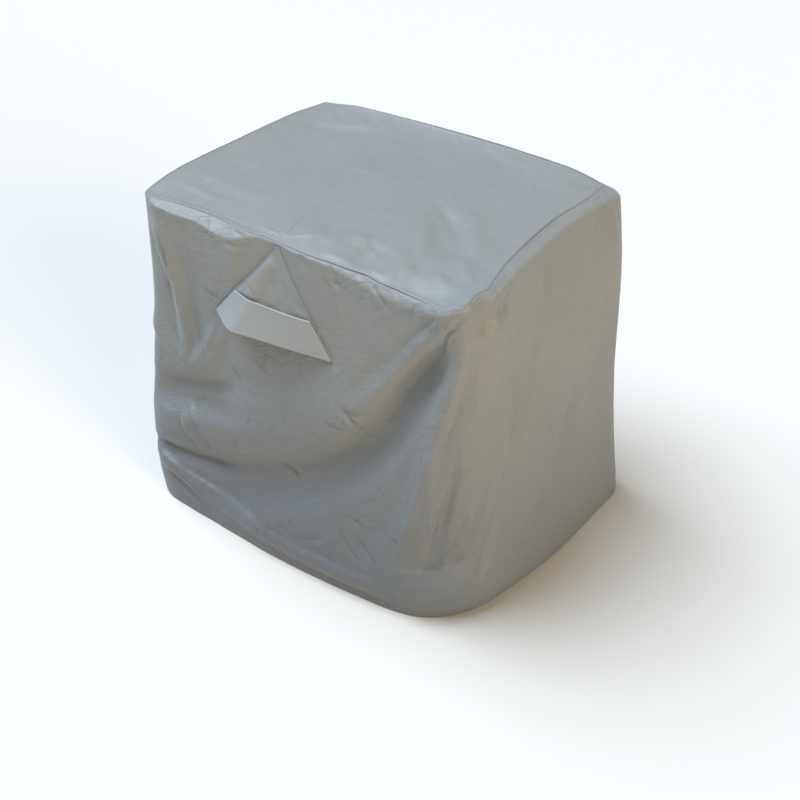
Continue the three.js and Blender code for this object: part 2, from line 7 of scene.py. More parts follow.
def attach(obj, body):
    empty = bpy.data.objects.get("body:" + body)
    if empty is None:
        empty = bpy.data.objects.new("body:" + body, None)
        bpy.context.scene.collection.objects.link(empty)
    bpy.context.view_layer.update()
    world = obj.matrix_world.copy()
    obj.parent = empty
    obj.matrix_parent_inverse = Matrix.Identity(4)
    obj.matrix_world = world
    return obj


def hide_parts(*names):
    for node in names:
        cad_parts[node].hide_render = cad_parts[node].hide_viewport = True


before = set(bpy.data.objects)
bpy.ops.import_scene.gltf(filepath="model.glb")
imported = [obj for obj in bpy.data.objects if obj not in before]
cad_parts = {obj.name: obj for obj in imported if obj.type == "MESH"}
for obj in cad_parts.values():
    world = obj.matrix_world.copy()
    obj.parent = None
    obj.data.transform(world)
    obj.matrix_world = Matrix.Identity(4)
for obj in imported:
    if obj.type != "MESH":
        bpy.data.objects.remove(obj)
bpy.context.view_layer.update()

# Fitted cover of an air conditioner, open at the bottom. Lengths in the tables are millimetres on the cloth:
# s walks along the seam from the front left corner (front, right, back, left), h is height on the flat wall.
cover = {
    "thickness": 2.0,
    "seamGap": 0.3,
    "seamHeight": 842.0,
    "sides": [810.0, 680.0, 810.0, 680.0],
    "narrowBend": 0.6,              # bend radius over the fold edge where the lap is narrow, as a share of it
    "bendShare": 0.55,              # share of the lap's rows that lies on top, before the bend
    "lapEvening": 1.4,              # evens out the lap's direction over this share of its width
    "crown": 11.0,                  # of the lid, at its middle
    "lidPull": 3.8,                 # how soon the lid is level, going in from its uneven seam
    "lidFoldStart": 0.16,           # where its folds have their full height: 0 is the seam, 1 the middle
    "wallFoldStart": 0.03,          # share of the height over which the wall's folds set in
    "overhangEnd": 540.0,           # height down to which the fold edge bulges out
    "tightSeam": 0.75, "tightFrom": (1400, 1500), "tightTo": (2900, 2975),   # the lid's seam there
    "toFrame": (-41.559, -327.432, 0.0),   # from the seam's own corner to the part's origin
}
girth = sum(cover["sides"])
sideStarts = [sum(cover["sides"][:side]) for side in range(4)]

# plan of the wall: height, front left, front right, back right and back left corner, how far each corner's
# curve reaches, bow of each side
sections = [
    (0, (-446, -56), (446, -50), (590, 702), (-476, 712), (96, 180, 90, 100), (20, 20, 22, 22)),
    (70, (-458, -52), (464, -60), (574, 708), (-480, 716), (84, 184, 90, 96), (20, 18, 24, 24)),
    (190, (-468, -42), (452, -50), (544, 704), (-470, 712), (76, 176, 76, 84), (16, 14, 22, 22)),
    (420, (-444, -22), (446, -32), (498, 700), (-452, 704), (50, 136, 56, 60), (12, 8, 18, 18)),
    (640, (-418, -12), (432, -16), (468, 696), (-440, 698), (34, 74, 40, 40), (12, 2, 12, 14)),
    (836, (-411, -8), (411, -8), (421, 690), (-426, 690), (20, 18, 24, 20), (0, -12, 8, 10)),
]

# along the girth: station, wall cloth lying on top, drop of the fold edge below the seam, lift of the seam
edge = [
    (0, 5, 5, 0), (90, 26, 12, 0), (190, 28, 16, -1), (250, 24, 22, -2), (310, 8, 9, -3), (356, 3, 4, -4),
    (400, 4, 4, -5), (520, 7, 7, -9), (600, 13, 15, -13), (680, 11, 15, -19), (745, 9, 11, -16),
    (800, 7, 8, -3), (850, 13, 10, 0), (930, 24, 13, 0), (1080, 30, 13, 0), (1220, 31, 12, 0),
    (1350, 28, 13, -1), (1470, 36, 19, -2), (1500, 36, 19, 0), (1620, 28, 12, 14), (1900, 24, 12, 23),
    (2180, 20, 12, 19), (2300, 14, 9, 7), (2450, 12, 8, 12), (2640, 12, 8, 14), (2820, 11, 8, 13),
    (2940, 6, 5, 5),
]

# how far the fold edge bulges out at each station
overhang = [
    (0, 0), (30, 12), (66, 22), (185, 20), (262, 24), (306, 12), (344, 4), (395, 7), (452, 11), (509, 9),
    (571, 9), (617, 15), (656, 12), (709, 15), (760, 24), (792, 10), (815, 0), (855, 1), (890, 14), (930, 12),
    (980, 8), (1100, 4), (1300, 0), (1470, 5), (1500, 3), (1640, 8), (1900, 3), (2180, 9), (2290, 2),
    (2420, 9), (2640, 2), (2860, 8),
]

# sharpness of the fold edge: station, bend radius, size of its small ups and downs
foldEdge = [
    (0, 4, 0.4), (70, 3.2, 2.2), (200, 3.0, 2.4), (300, 3.2, 1.8), (400, 4, 0.8), (560, 5, 1.6),
    (700, 6, 1.6), (800, 4, 0.6), (860, 4, 1.6), (940, 5, 1.8), (1020, 9, 0.8), (1400, 10, 0.6),
    (1600, 9, 1.0), (2200, 8, 1.0), (2400, 7, 0.9), (2900, 6, 0.8),
]

# main folds of the wall: from (s, h), to (s, h), bow to the left of its way or the points it runs through,
# half-widths, depth out of the wall, share faded at each end, lean to the left, roundness of the crest
folds = [
    ((800, 820), (70, 136), ((744, 716), (688, 620), (616, 476), (502, 318), (366, 216), (220, 158)),
     (38, 112), -30, (0.16, 0.3), 0.15, 0.6),  # swag from the front right corner
    ((766, 800), (480, 420), ((684, 690), (600, 560)), (24, 60), 6, (0.2, 0.45), 0.1, 0.7),  # ridge above it
    ((734, 790), (515, 492), ((626, 650),), (16, 34), -6, (0.2, 0.45), 0, 0.6),
    ((170, 350), (640, 640), -60, (90, 110), 13, (0.3, 0.35), 0, 0.8),  # belly below the vent
    ((44, 812), (136, 410), 10, (30, 40), 9, (0.15, 0.35), 0.2, 0.6),  # left hanging ridge
    ((124, 770), (150, 480), 0, (48, 36), -4, (0.35, 0.3), 0, 0.8),
    ((138, 410), (226, 622), -8, (40, 34), 8, (0.3, 0.35), -0.1, 0.7),  # ridge up to the vent
    ((-30, 322), (320, 424), -16, (60, 76), -12, (0.25, 0.35), 0, 0.8),
    ((0, 240), (330, 300), 16, (56, 62), 13, (0.35, 0.4), 0, 0.7),  # left belly
    ((128, 335), (198, 196), -14, (24, 20), 8, (0.25, 0.25), 0.3, 0.3),
    ((-30, 150), (350, 218), -18, (24, 40), -12, (0.15, 0.5), 0.1, 0.4),  # low fold above the hem
    ((0, 140), (680, 72), -34, (26, 34), 9, (0.12, 0.12), -0.3, 0.4),  # roll above the hem
    ((640, 98), (900, 168), -22, (30, 42), 7, (0.3, 0.3), -0.2, 0.5),
    ((690, 150), (880, 225), -14, (30, 34), -8, (0.35, 0.35), 0, 0.7),
    ((950, 806), (742, 300), ((890, 768), (818, 732), (776, 634), (744, 518), (734, 440)),
     (22, 40), 8, (0.08, 0.4), -0.1, 0.45),  # draped corner
    ((744, 510), (636, 66), ((722, 340), (680, 190)), (64, 96), 8, (0.25, 0.2), 0.35, 0.5),  # wall's turn
    ((850, 790), (806, 560), -10, (34, 44), -8, (0.3, 0.4), 0, 0.8),
    ((794, 500), (780, 250), 0, (30, 44), -4, (0.3, 0.4), 0, 0.8),
    ((1050, 745), (900, 132), 22, (30, 44), -6, (0.25, 0.3), 0.3, 0.8),  # right wall
    ((1136, 824), (1100, 690), 0, (18, 24), -5, (0.3, 0.5), 0, 0.6),
    ((1250, 500), (1140, 150), 10, (34, 46), -7, (0.4, 0.35), 0, 0.7),
    ((1150, 420), (1030, 150), 0, (60, 70), 7, (0.4, 0.4), 0, 0.9),
    ((1386, 846), (1456, 655), 10, (18, 24), 8, (0.2, 0.5), 0.2, 0.4),
    ((1640, 800), (1560, 120), -16, (30, 46), -12, (0.3, 0.25), 0, 0.5),  # back wall
    ((2244, 800), (1730, 230), 80, (44, 74), -15, (0.15, 0.4), 0.2, 0.6),
    ((1800, 330), (1720, 40), 8, (34, 40), -10, (0.4, 0.2), 0, 0.6),
    ((1880, 84), (2340, 96), 12, (30, 30), 8, (0.25, 0.25), 0, 0.5),
    ((2400, 800), (2450, 160), 14, (28, 44), -11, (0.25, 0.3), 0, 0.5),  # left wall
    ((2900, 790), (2520, 330), 60, (32, 58), -13, (0.12, 0.4), 0.2, 0.6),
    ((2740, 300), (2690, 30), 0, (30, 40), -9, (0.4, 0.15), 0, 0.6),
]

# creases too fine for the solid, the same columns
creases = [
    ((786, 806), (600, 480), ((700, 668),), (12, 24), -3, (0.15, 0.45), 0.2, 0.4),  # bottom of the swag
    ((756, 806), (600, 584), ((706, 744), (662, 680)), (15, 28), -3.2, (0.15, 0.4), 0, 0.6),  # flatter crest
    ((734, 790), (515, 492), ((626, 650),), (16, 34), 4.5, (0.2, 0.45), 0, 0.6),  # and trough
    ((806, 822), (742, 716), -4, (6, 12), -4, (0.15, 0.5), 0, 0.1),
    ((770, 812), (716, 748), 3, (5, 8), -2.5, (0.2, 0.5), 0, 0.1),
    ((752, 812), (690, 752), 4, (5, 9), -2.5, (0.2, 0.5), 0, 0.1),
    ((782, 806), (740, 742), 2, (5, 8), 2.2, (0.2, 0.5), 0, 0.1),
    ((134, 440), (74, 731), -4, (14, 18), 1.8, (0.25, 0.3), 0.3, 0.3),  # left hanging fold
    ((140, 440), (206, 596), 0, (14, 18), 1.8, (0.25, 0.3), 0, 0.3),
    ((62, 792), (96, 560), 3, (5, 7), -2.2, (0.2, 0.4), 0, 0.1),
    ((130, 331), (192, 254), 4, (7, 7), 4, (0.2, 0.1), 0.2, 0.05),  # facet of the left belly
    ((192, 254), (190, 196), -4, (7, 8), 3.5, (0.1, 0.3), 0.2, 0.05),
    ((20, 160), (286, 196), -10, (8, 16), -7, (0.1, 0.3), 0, 0.15),
    ((40, 140), (250, 104), -8, (7, 8), 3, (0.15, 0.3), 0, 0.1),
    ((54, 90), (196, 26), 4, (9, 9), -4, (0.2, 0.3), 0, 0.2),
    ((944, 802), (742, 330), ((890, 768), (818, 734), (776, 634), (746, 518), (736, 440)),
     (6, 13), 3.6, (0.06, 0.35), -0.2, 0.1),  # draped corner's crisp ridge
    ((902, 842), (898, 792), 0, (5, 7), -3.0, (0.15, 0.3), 0, 0.05),
    ((886, 840), (872, 800), 2, (4, 6), 1.8, (0.2, 0.4), 0, 0.05),
    ((958, 850), (940, 808), 2, (5, 8), -2.6, (0.15, 0.3), 0, 0.1),
    ((744, 520), (738, 330), 4, (8, 14), 3, (0.3, 0.4), 0, 0.2),
    ((638, 451), (656, 220), 2, (4, 5), 1.3, (0.3, 0.4), 0, 0.1),
    ((892, 408), (882, 301), 0, (5, 6), 1.4, (0.3, 0.3), 0, 0.1),
    ((736, 506), (678, 120), ((710, 296),), (12, 18), 4, (0.2, 0.3), 0.2, 0.35),  # folds by the corner
    ((812, 484), (768, 140), ((786, 350),), (20, 34), -8.5, (0.55, 0.25), 0.2, 0.45),
    ((782, 380), (757, 195), 0, (7, 9), -1.8, (0.3, 0.3), 0, 0.3),
    ((880, 360), (820, 180), 0, (16, 22), 5, (0.3, 0.3), 0, 0.4),
    ((908, 410), (846, 210), ((893, 306),), (14, 20), -7, (0.25, 0.3), 0.3, 0.3),
    ((984, 400), (884, 100), ((946, 242),), (18, 26), -9, (0.2, 0.25), 0.3, 0.3),
    ((980, 660), (1000, 340), 0, (16, 22), -6.5, (0.4, 0.4), 0, 0.5),
    ((1014, 670), (1028, 360), 0, (20, 26), 5, (0.4, 0.4), 0, 0.6),
    ((670, 122), (886, 166), 14, (14, 18), 2.4, (0.3, 0.3), 0, 0.5),
    ((46, 345), (312, 446), ((153, 384),), (24, 30), -6, (0.2, 0.4), 0, 0.5),  # shade under the hanging fold
    ((-12, 548), (160, 426), ((70, 474),), (42, 30), 7, (0.3, 0.3), 0, 0.6),
    ((70, 752), (80, 580), 0, (10, 14), -3.5, (0.2, 0.3), 0, 0.3),
    ((378, 155), (540, 170), ((390, 128), (408, 104), (438, 101), (483, 116)),
     (11, 15), -2.9, (0.25, 0.3), 0, 0.4),
    ((190, 842), (206, 812), 0, (5, 8), -2.6, (0.1, 0.3), 0, 0.1),  # pinch on the front left lap
    ((166, 838), (182, 808), 0, (4, 6), 2.0, (0.2, 0.3), 0, 0.05),
    ((262, 842), (300, 822), 2, (6, 9), -1.8, (0.2, 0.3), 0, 0.1),  # second fold left of the apex
    ((430, 838), (452, 800), 2, (5, 9), -2.0, (0.2, 0.4), 0, 0.1),
    ((498, 836), (530, 786), 3, (5, 10), -2.2, (0.2, 0.4), 0, 0.1),
    ((566, 832), (590, 780), -2, (5, 10), 1.8, (0.2, 0.4), 0, 0.1),
    ((600, 826), (646, 776), 3, (6, 10), -2.8, (0.2, 0.4), 0, 0.1),
    ((652, 822), (668, 782), 0, (5, 9), 2.0, (0.2, 0.4), 0, 0.1),
    ((700, 818), (690, 772), 0, (5, 9), -2.4, (0.2, 0.4), 0, 0.1),
    ((1134, 819), (1104, 713), 0, (7, 10), -1.8, (0.2, 0.5), 0, 0.2),
    ((1386, 842), (1448, 697), 6, (6, 10), 2.4, (0.15, 0.4), 0, 0.1),
    ((1560, 830), (1500, 560), -6, (8, 14), -3, (0.2, 0.5), 0, 0.2),
    ((2230, 810), (2010, 520), 12, (10, 20), 4, (0.2, 0.4), 0, 0.2),
    ((2390, 820), (2440, 560), 6, (8, 14), 3, (0.2, 0.5), 0, 0.2),
    ((2890, 810), (2740, 560), 10, (9, 16), 4, (0.2, 0.4), 0, 0.2),
]

# short pressed lines and folds: from, to, bow or points, half-widths, depth; they share the other columns
shortCreases = [
    # the front, low down
    ((528, 518), (585, 431), ((561, 500),), (7, 9), -4.6),
    ((549, 500), (570, 458), 0, (6, 7), 3.8),
    ((492, 464), (567, 434), ((519, 461), (546, 455)), (7, 9), -4.3),
    ((558, 452), (591, 428), 0, (6, 8), 3.8),
    ((540, 512), (600, 515), ((579, 515),), (7, 9), -4.0),
    ((573, 506), (588, 461), 0, (9, 9), 3.8),
    ((465, 416), (504, 410), 0, (6, 8), -2.4),
    ((372, 281), (438, 242), ((396, 266),), (7, 8), -5.0),
    ((378, 257), (420, 242), 0, (7, 7), 3.4),
    ((381, 209), (405, 206), 0, (6, 6), -3.0),
    ((384, 122), (396, 89), 0, (6, 6), 2.4),
    ((414, 191), (432, 146), 0, (5, 5), 2.6),
    ((420, 143), (441, 122), 0, (6, 7), -2.8),
    ((450, 203), (474, 170), 0, (5, 5), 2.4),
    ((462, 239), (495, 200), 0, (5, 5), 2.8),
    ((441, 86), (549, 164), ((510, 125),), (8, 10), 3.0),
    ((546, 185), (606, 107), ((582, 134),), (7, 9), -3.4),
    ((558, 209), (600, 164), 0, (7, 7), 2.2),
    ((579, 191), (663, 116), ((630, 146),), (7, 9), -3.6),
    ((564, 137), (597, 104), 0, (7, 8), 2.4),
    ((597, 146), (642, 131), 0, (7, 8), 2.6),
    ((555, 227), (609, 221), ((579, 227),), (7, 8), -3.0),
    ((573, 239), (630, 227), 0, (6, 8), 2.4),
    ((477, 95), (534, 86), 0, (7, 9), -3.0),
    ((669, 230), (696, 221), 0, (6, 6), -3.0),
    ((627, 341), (651, 320), 0, (6, 6), -2.4),
    ((714, 491), (750, 236), ((735, 365),), (5, 6), 2.4),
    ((705, 551), (762, 188), ((726, 443),), (6, 7), -2.0),
    ((645, 323), (654, 191), 0, (5, 6), 1.8),
    ((393, 500), (408, 410), ((396, 437),), (6, 6), 2.2),
    ((447, 515), (489, 467), 0, (6, 7), -2.0),
    ((519, 566), (522, 527), 0, (6, 6), 2.0),
    ((72, 134), (396, 77), ((204, 107), (282, 95)), (12, 16), 4.5),
    ((87, 119), (246, 68), ((165, 80),), (10, 12), -3.6),
    ((669, 116), (828, 176), ((702, 146), (762, 146)), (12, 16), 3.4),
    # left of the vent and below it
    ((291, 545), (363, 500), ((333, 524),), (6, 7), -3.0),
    ((240, 500), (288, 455), ((264, 476),), (6, 7), -3.2),
    ((285, 464), (327, 452), 0, (6, 7), 2.8),
    ((171, 665), (216, 653), 0, (6, 7), -3.6),
    ((192, 686), (219, 662), 0, (6, 6), 2.2),
    ((210, 521), (237, 560), ((231, 539),), (6, 6), -2.4),
    ((96, 494), (132, 425), ((114, 452),), (9, 10), 3.4),
    ((159, 461), (177, 446), 0, (7, 7), 2.6),
    ((132, 539), (144, 482), 0, (15, 13), -3.6),
    ((204, 587), (180, 503), ((195, 548),), (8, 9), 2.8),
    ((246, 806), (315, 815), ((282, 806),), (7, 7), -2.6),
    ((252, 803), (279, 785), 0, (6, 6), 1.8),
    ((279, 791), (294, 764), 0, (5, 5), -2.0),
    ((189, 812), (219, 803), 0, (7, 7), -3.4),
    ((423, 584), (441, 533), ((426, 554),), (5, 6), -2.2),
    ((498, 812), (513, 794), ((501, 797),), (6, 6), 2.6),
    ((507, 800), (531, 794), 0, (7, 8), -3.4),
]
shortFade, shortLean, shortRoundness = (0.25, 0.3), 0, 0.2
creases += [row + (shortFade, shortLean, shortRoundness) for row in shortCreases]

# bunches of short wrinkles: middle (s, h), spread along s and h, direction in degrees, how many, length,
# half-width, depth
wrinkles = [
    ((566, 470), (90, 26), 150, 3, (34, 80), 5.6, 1.6),
    ((284, 448), (44, 20), 140, 5, (26, 50), 5.6, 2.0),
    ((400, 256), (70, 22), 160, 3, (30, 70), 5.6, 1.6),
    ((450, 196), (80, 22), 155, 3, (30, 70), 5.6, 1.6),
    ((600, 190), (90, 60), 122, 4, (40, 90), 6.3, 1.8),
    ((306, 330), (80, 60), 58, 9, (40, 90), 6.3, 2.1),
    ((480, 540), (110, 50), 64, 8, (40, 90), 7.0, 2.0),
    ((350, 520), (90, 50), 74, 7, (40, 80), 6.3, 0.8),
    ((660, 740), (60, 40), 60, 7, (26, 60), 5.6, 2.2),
    ((752, 770), (34, 26), 48, 8, (22, 50), 4.2, 2.4),
    ((690, 560), (60, 80), 62, 8, (40, 90), 6.3, 2.4),
    ((110, 640), (50, 90), 96, 7, (50, 110), 7.0, 2.1),
    ((160, 540), (30, 60), 100, 5, (40, 80), 5.6, 1.8),
    ((100, 300), (70, 40), 20, 6, (30, 70), 7.0, 2.0),
    ((860, 480), (70, 160), 98, 9, (50, 120), 8.4, 1.8),
    ((1060, 420), (120, 220), 96, 9, (80, 200), 14.0, 1.8),
    ((1300, 480), (120, 220), 94, 8, (80, 200), 15.4, 1.8),
    ((820, 190), (70, 40), 60, 6, (30, 70), 7.0, 1.0),
    ((1700, 500), (200, 220), 100, 12, (80, 200), 11.2, 2.2),
    ((2060, 420), (200, 220), 60, 12, (80, 180), 11.2, 2.2),
    ((2500, 460), (160, 240), 96, 12, (80, 200), 11.2, 2.2),
    ((2800, 420), (140, 240), 70, 12, (70, 180), 11.2, 2.2),
]

# relief of the lid, from (x, y), to (x, y) on its plan, then the same columns
lidFolds = [
    ((40, 34), (250, 22), 22, (44, 60), -7, (0.3, 0.3), 0, 0.8),
    ((160, 320), (300, 110), 0, (44, 60), -7, (0.3, 0.3), 0, 0.7),
    ((214, 350), (330, 160), 0, (30, 40), 3, (0.3, 0.3), 0, 0.7),
    ((-390, 520), (-180, 600), -26, (24, 34), -4, (0.3, 0.3), 0, 0.6),
]
lidCreases = [
    ((-58, 106), (-40, 10), 2, (9, 12), 2.6, (0.3, 0.1), 0, 0.1),  # star above the vent
    ((-42, 12), (-104, 18), 2, (8, 10), 1.8, (0.1, 0.4), 0, 0.1),
    ((-36, 14), (40, 66), -6, (8, 14), 1.6, (0.1, 0.4), 0, 0.2),
    ((-20, 92), (46, 22), -6, (36, 42), 4.0, (0.4, 0.4), -0.1, 0.9),  # pale patches by the front edge
    ((66, 112), (150, 18), -12, (56, 60), 7.5, (0.45, 0.4), -0.12, 0.95),
    ((168, 104), (262, 4), -10, (56, 60), 7.5, (0.45, 0.4), -0.12, 0.95),
    ((90, 62), (206, 22), 6, (14, 18), -1.2, (0.3, 0.3), 0, 0.4),
    ((262, 70), (340, 8), 6, (40, 44), 5.0, (0.45, 0.4), -0.12, 0.9),
    ((158, 313), (294, 170), 8, (18, 26), -2.0, (0.3, 0.3), 0.3, 0.3),
    ((104, 361), (287, 224), -14, (18, 26), -1.6, (0.3, 0.3), 0.2, 0.4),
    ((300, 150), (372, 60), 4, (14, 18), 1.8, (0.3, 0.3), 0, 0.3),
    ((-398, 539), (-191, 619), -10, (14, 20), 1.6, (0.3, 0.3), 0.3, 0.3),
    ((-400, 138), (-114, 103), 8, (26, 34), 1.6, (0.3, 0.3), 0, 0.6),
    ((-392, 222), (-160, 180), 8, (26, 34), -1.5, (0.3, 0.3), 0, 0.6),
    ((-380, 70), (-200, 50), 4, (14, 18), 1.5, (0.3, 0.3), 0, 0.5),
    ((330, 560), (396, 640), 4, (16, 20), 2.0, (0.3, 0.2), 0, 0.4),
    ((60, 640), (250, 600), -8, (26, 34), -1.5, (0.3, 0.3), 0, 0.6),
    ((-380, 640), (-300, 560), 3, (12, 16), 1.8, (0.2, 0.4), 0, 0.4),
]


def curveThrough(xs, ys, x):
    xs, ys = np.asarray(xs, float), np.asarray(ys, float)
    slope = np.diff(ys) / np.diff(xs)
    tangent = np.concatenate([[slope[0]], np.zeros(len(xs) - 2), [slope[-1]]])
    both = slope[:-1] * slope[1:]
    total = slope[:-1] + slope[1:]
    tangent[1:-1] = np.where(both > 0, 2 * both / np.where(total == 0, 1, total), 0)
    i = np.clip(np.searchsorted(xs, x, side="right") - 1, 0, len(xs) - 2)
    width = xs[i + 1] - xs[i]
    t = np.clip((x - xs[i]) / width, 0, 1)
    return ((2 * t**3 - 3 * t**2 + 1) * ys[i] + (t**3 - 2 * t**2 + t) * width * tangent[i]
            + (3 * t**2 - 2 * t**3) * ys[i + 1] + (t**3 - t**2) * width * tangent[i + 1])


def aroundGirth(rows, column, s):       # a table's column as a smooth closed curve round the girth
    turns = (-girth, 0, girth)
    return curveThrough([row[0] + turn for turn in turns for row in rows],
                        [row[column] for turn in turns for row in rows], np.mod(s, girth))


def smoothStep(x, low, high):
    t = np.clip((x - low) / (high - low), 0, 1)
    return t * t * (3 - 2 * t)


def unit(v):
    return v / np.maximum(np.linalg.norm(v, axis=-1, keepdims=True), 1e-9)


def planPoint(s, z):                    # the wall's plan at station s and height z
    heights = [row[0] for row in sections]
    s, z = np.broadcast_arrays(np.mod(s, girth), np.clip(z, heights[0], heights[-1]))
    point = np.zeros(s.shape + (2,))
    for side in range(4):
        here = (s >= sideStarts[side]) & (s < sideStarts[side] + cover["sides"][side])
        if not here.any():
            continue
        level = z[here]
        corners = [np.stack([curveThrough(heights, [row[1 + (side + k) % 4][axis] for row in sections], level)
                             for axis in (0, 1)], -1) for k in (-1, 0, 1, 2)]
        near, far = [curveThrough(heights, [row[5][(side + k) % 4] for row in sections], level)[:, None]
                     for k in (0, 1)]
        before, start, end, after = corners
        length = np.linalg.norm(end - start, axis=-1)[:, None]
        way, wayIn, wayOut = unit(end - start), unit(start - before), unit(after - end)
        share = ((s[here] - sideStarts[side]) / cover["sides"][side])[:, None]
        along = share * length
        t = 0.5 + 0.5 * along / near    # each side draws its own half of a corner's curve
        first = start - wayIn * near * (1 - t) ** 2 + way * near * t**2
        t = 0.5 * (along - length + far) / far
        last = end - way * far * (1 - t) ** 2 + wayOut * far * t**2
        place = np.where(along < near, first, np.where(along > length - far, last, start + way * along))
        bow = curveThrough(heights, [row[6][side] for row in sections], level)
        upward = smoothStep(level, cover["overhangEnd"], cover["seamHeight"])
        out = bow * np.sin(np.pi * share[:, 0]) ** 2 + aroundGirth(overhang, 1, s[here]) * upward
        point[here] = place + np.stack([way[:, 1], -way[:, 0]], -1) * out[:, None]
    return point


def planOutward(s, z):
    way = unit(planPoint(s + 3, z) - planPoint(s - 3, z))
    return np.stack([way[..., 1], -way[..., 0]], -1)


def lapOutward(s, z):                   # evened out round a corner, so that a wide lap doesn't cross itself
    spread = cover["lapEvening"] * aroundGirth(edge, 1, s)
    return unit(sum(planOutward(s + spread * share, z) for share in np.linspace(-1, 1, 9)))


pathPieces = 16                         # straight pieces that a fold's path is measured along


def foldRelief(rows, x, y, turns=(0.0,)):   # summed height of a table's folds at points of a flat sheet
    total = np.zeros(x.shape)
    for start, end, bow, half, depth, fade, lean, roundness in rows:
        start, end = np.array(start, float), np.array(end, float)
        t = np.linspace(0, 1, pathPieces + 1)[:, None]
        if isinstance(bow, tuple):
            knots = np.array([start, *bow, end])
            reach = np.concatenate([[0], np.cumsum(np.linalg.norm(np.diff(knots, axis=0), axis=1))])
            path = np.concatenate([curveThrough(reach, knots[:, axis], t * reach[-1]) for axis in (0, 1)], 1)
        else:
            along = end - start
            left = np.array([-along[1], along[0]]) / np.linalg.norm(along)
            path = start + along * t + left * 4 * t * (1 - t) * bow
        margin = max(half) * (1 + abs(lean))
        low, high = path.min(0) - margin, path.max(0) + margin
        for turn in turns:
            near = (x + turn > low[0]) & (x + turn < high[0]) & (y > low[1]) & (y < high[1])
            if not near.any():
                continue
            px, py = x[near] + turn, y[near]
            best, side, place = np.full(px.shape, 1e9), np.zeros(px.shape), np.zeros(px.shape)
            for i in range(pathPieces):
                (ax, ay), (dx, dy) = path[i], path[i + 1] - path[i]
                u = np.clip(((px - ax) * dx + (py - ay) * dy) / (dx * dx + dy * dy), 0, 1)
                distance = np.hypot(px - ax - u * dx, py - ay - u * dy)
                closer = distance < best
                best = np.where(closer, distance, best)
                side = np.where(closer, np.sign(dx * (py - ay) - dy * (px - ax)), side)
                place = np.where(closer, (i + u) / pathPieces, place)
            width = (half[0] + (half[1] - half[0]) * place) * (1 + lean * side)
            soft = 0.05 + 0.6 * roundness
            r = (np.sqrt((best / width) ** 2 + soft**2) - soft) / (math.sqrt(1 + soft**2) - soft)
            r = np.clip(r, 0, 1)
            ends = smoothStep(place, 0, fade[0]) * smoothStep(1 - place, 0, fade[1])
            total[near] += depth * ends * (1 - r) ** 2 * (1 + 2 * r)
    return total


def aroundRelief(rows, s, h):
    return foldRelief(rows, np.mod(s, girth), h, (0.0, -girth, girth))


def softNoise(x, y, sizeX, sizeY, seed, closed=False):   # smooth hills of about one size, from -1 to 1
    count = round(girth / sizeX) if closed else 97
    hills = np.random.default_rng(seed).uniform(-1, 1, (count, 97))
    gx, gy = x / (girth / count if closed else sizeX), y / sizeY
    i, j = np.floor(gx).astype(int), np.floor(gy).astype(int)
    u, v = gx - i, gy - j
    u, v = u * u * (3 - 2 * u), v * v * (3 - 2 * v)

    def at(a, b):
        return hills[a % count, b % 97]

    return ((at(i, j) * (1 - u) + at(i + 1, j) * u) * (1 - v)
            + (at(i, j + 1) * (1 - u) + at(i + 1, j + 1) * u) * v)


def lineNoise(s, length, seed):         # the same along the girth alone
    return softNoise(s, s * 0, length, 50, seed, closed=True)


def hump(x, place, width):              # a bell curve, 1 at its place
    return np.exp(-((x - place) / width) ** 2)


def scatterWrinkles(rows, seed):        # turns each bunch into rows of the fold tables
    pick = np.random.default_rng(seed)
    made = []
    for middle, spread, direction, count, (short, long), half, depth in rows:
        for _ in range(count):
            angle = math.radians(direction) + pick.normal(0, 0.16)
            reach = pick.uniform(short, long) / 2
            cx, cy = middle[0] + pick.uniform(-1, 1) * spread[0], middle[1] + pick.uniform(-1, 1) * spread[1]
            dx, dy = reach * math.cos(angle), reach * math.sin(angle)
            size = half * pick.uniform(0.8, 1.4)
            height = depth * pick.uniform(0.5, 1.1) * (1 if pick.random() < 0.4 else -1)
            bow = pick.normal(0, 0.06) * reach
            wider, roundness = pick.uniform(0.9, 1.5), pick.uniform(0.1, 0.4)
            made.append(((cx - dx, cy - dy), (cx + dx, cy + dy), bow, (size, size * wider), height,
                         (0.35, 0.45), 0, roundness))
    return made


def gridNormals(points, ring):          # outward normals of a grid whose rows run down and columns run right
    across = np.roll(points, -1, 1) - np.roll(points, 1, 1) if ring else np.gradient(points, axis=1)
    return unit(np.cross(np.gradient(points, axis=0), across))


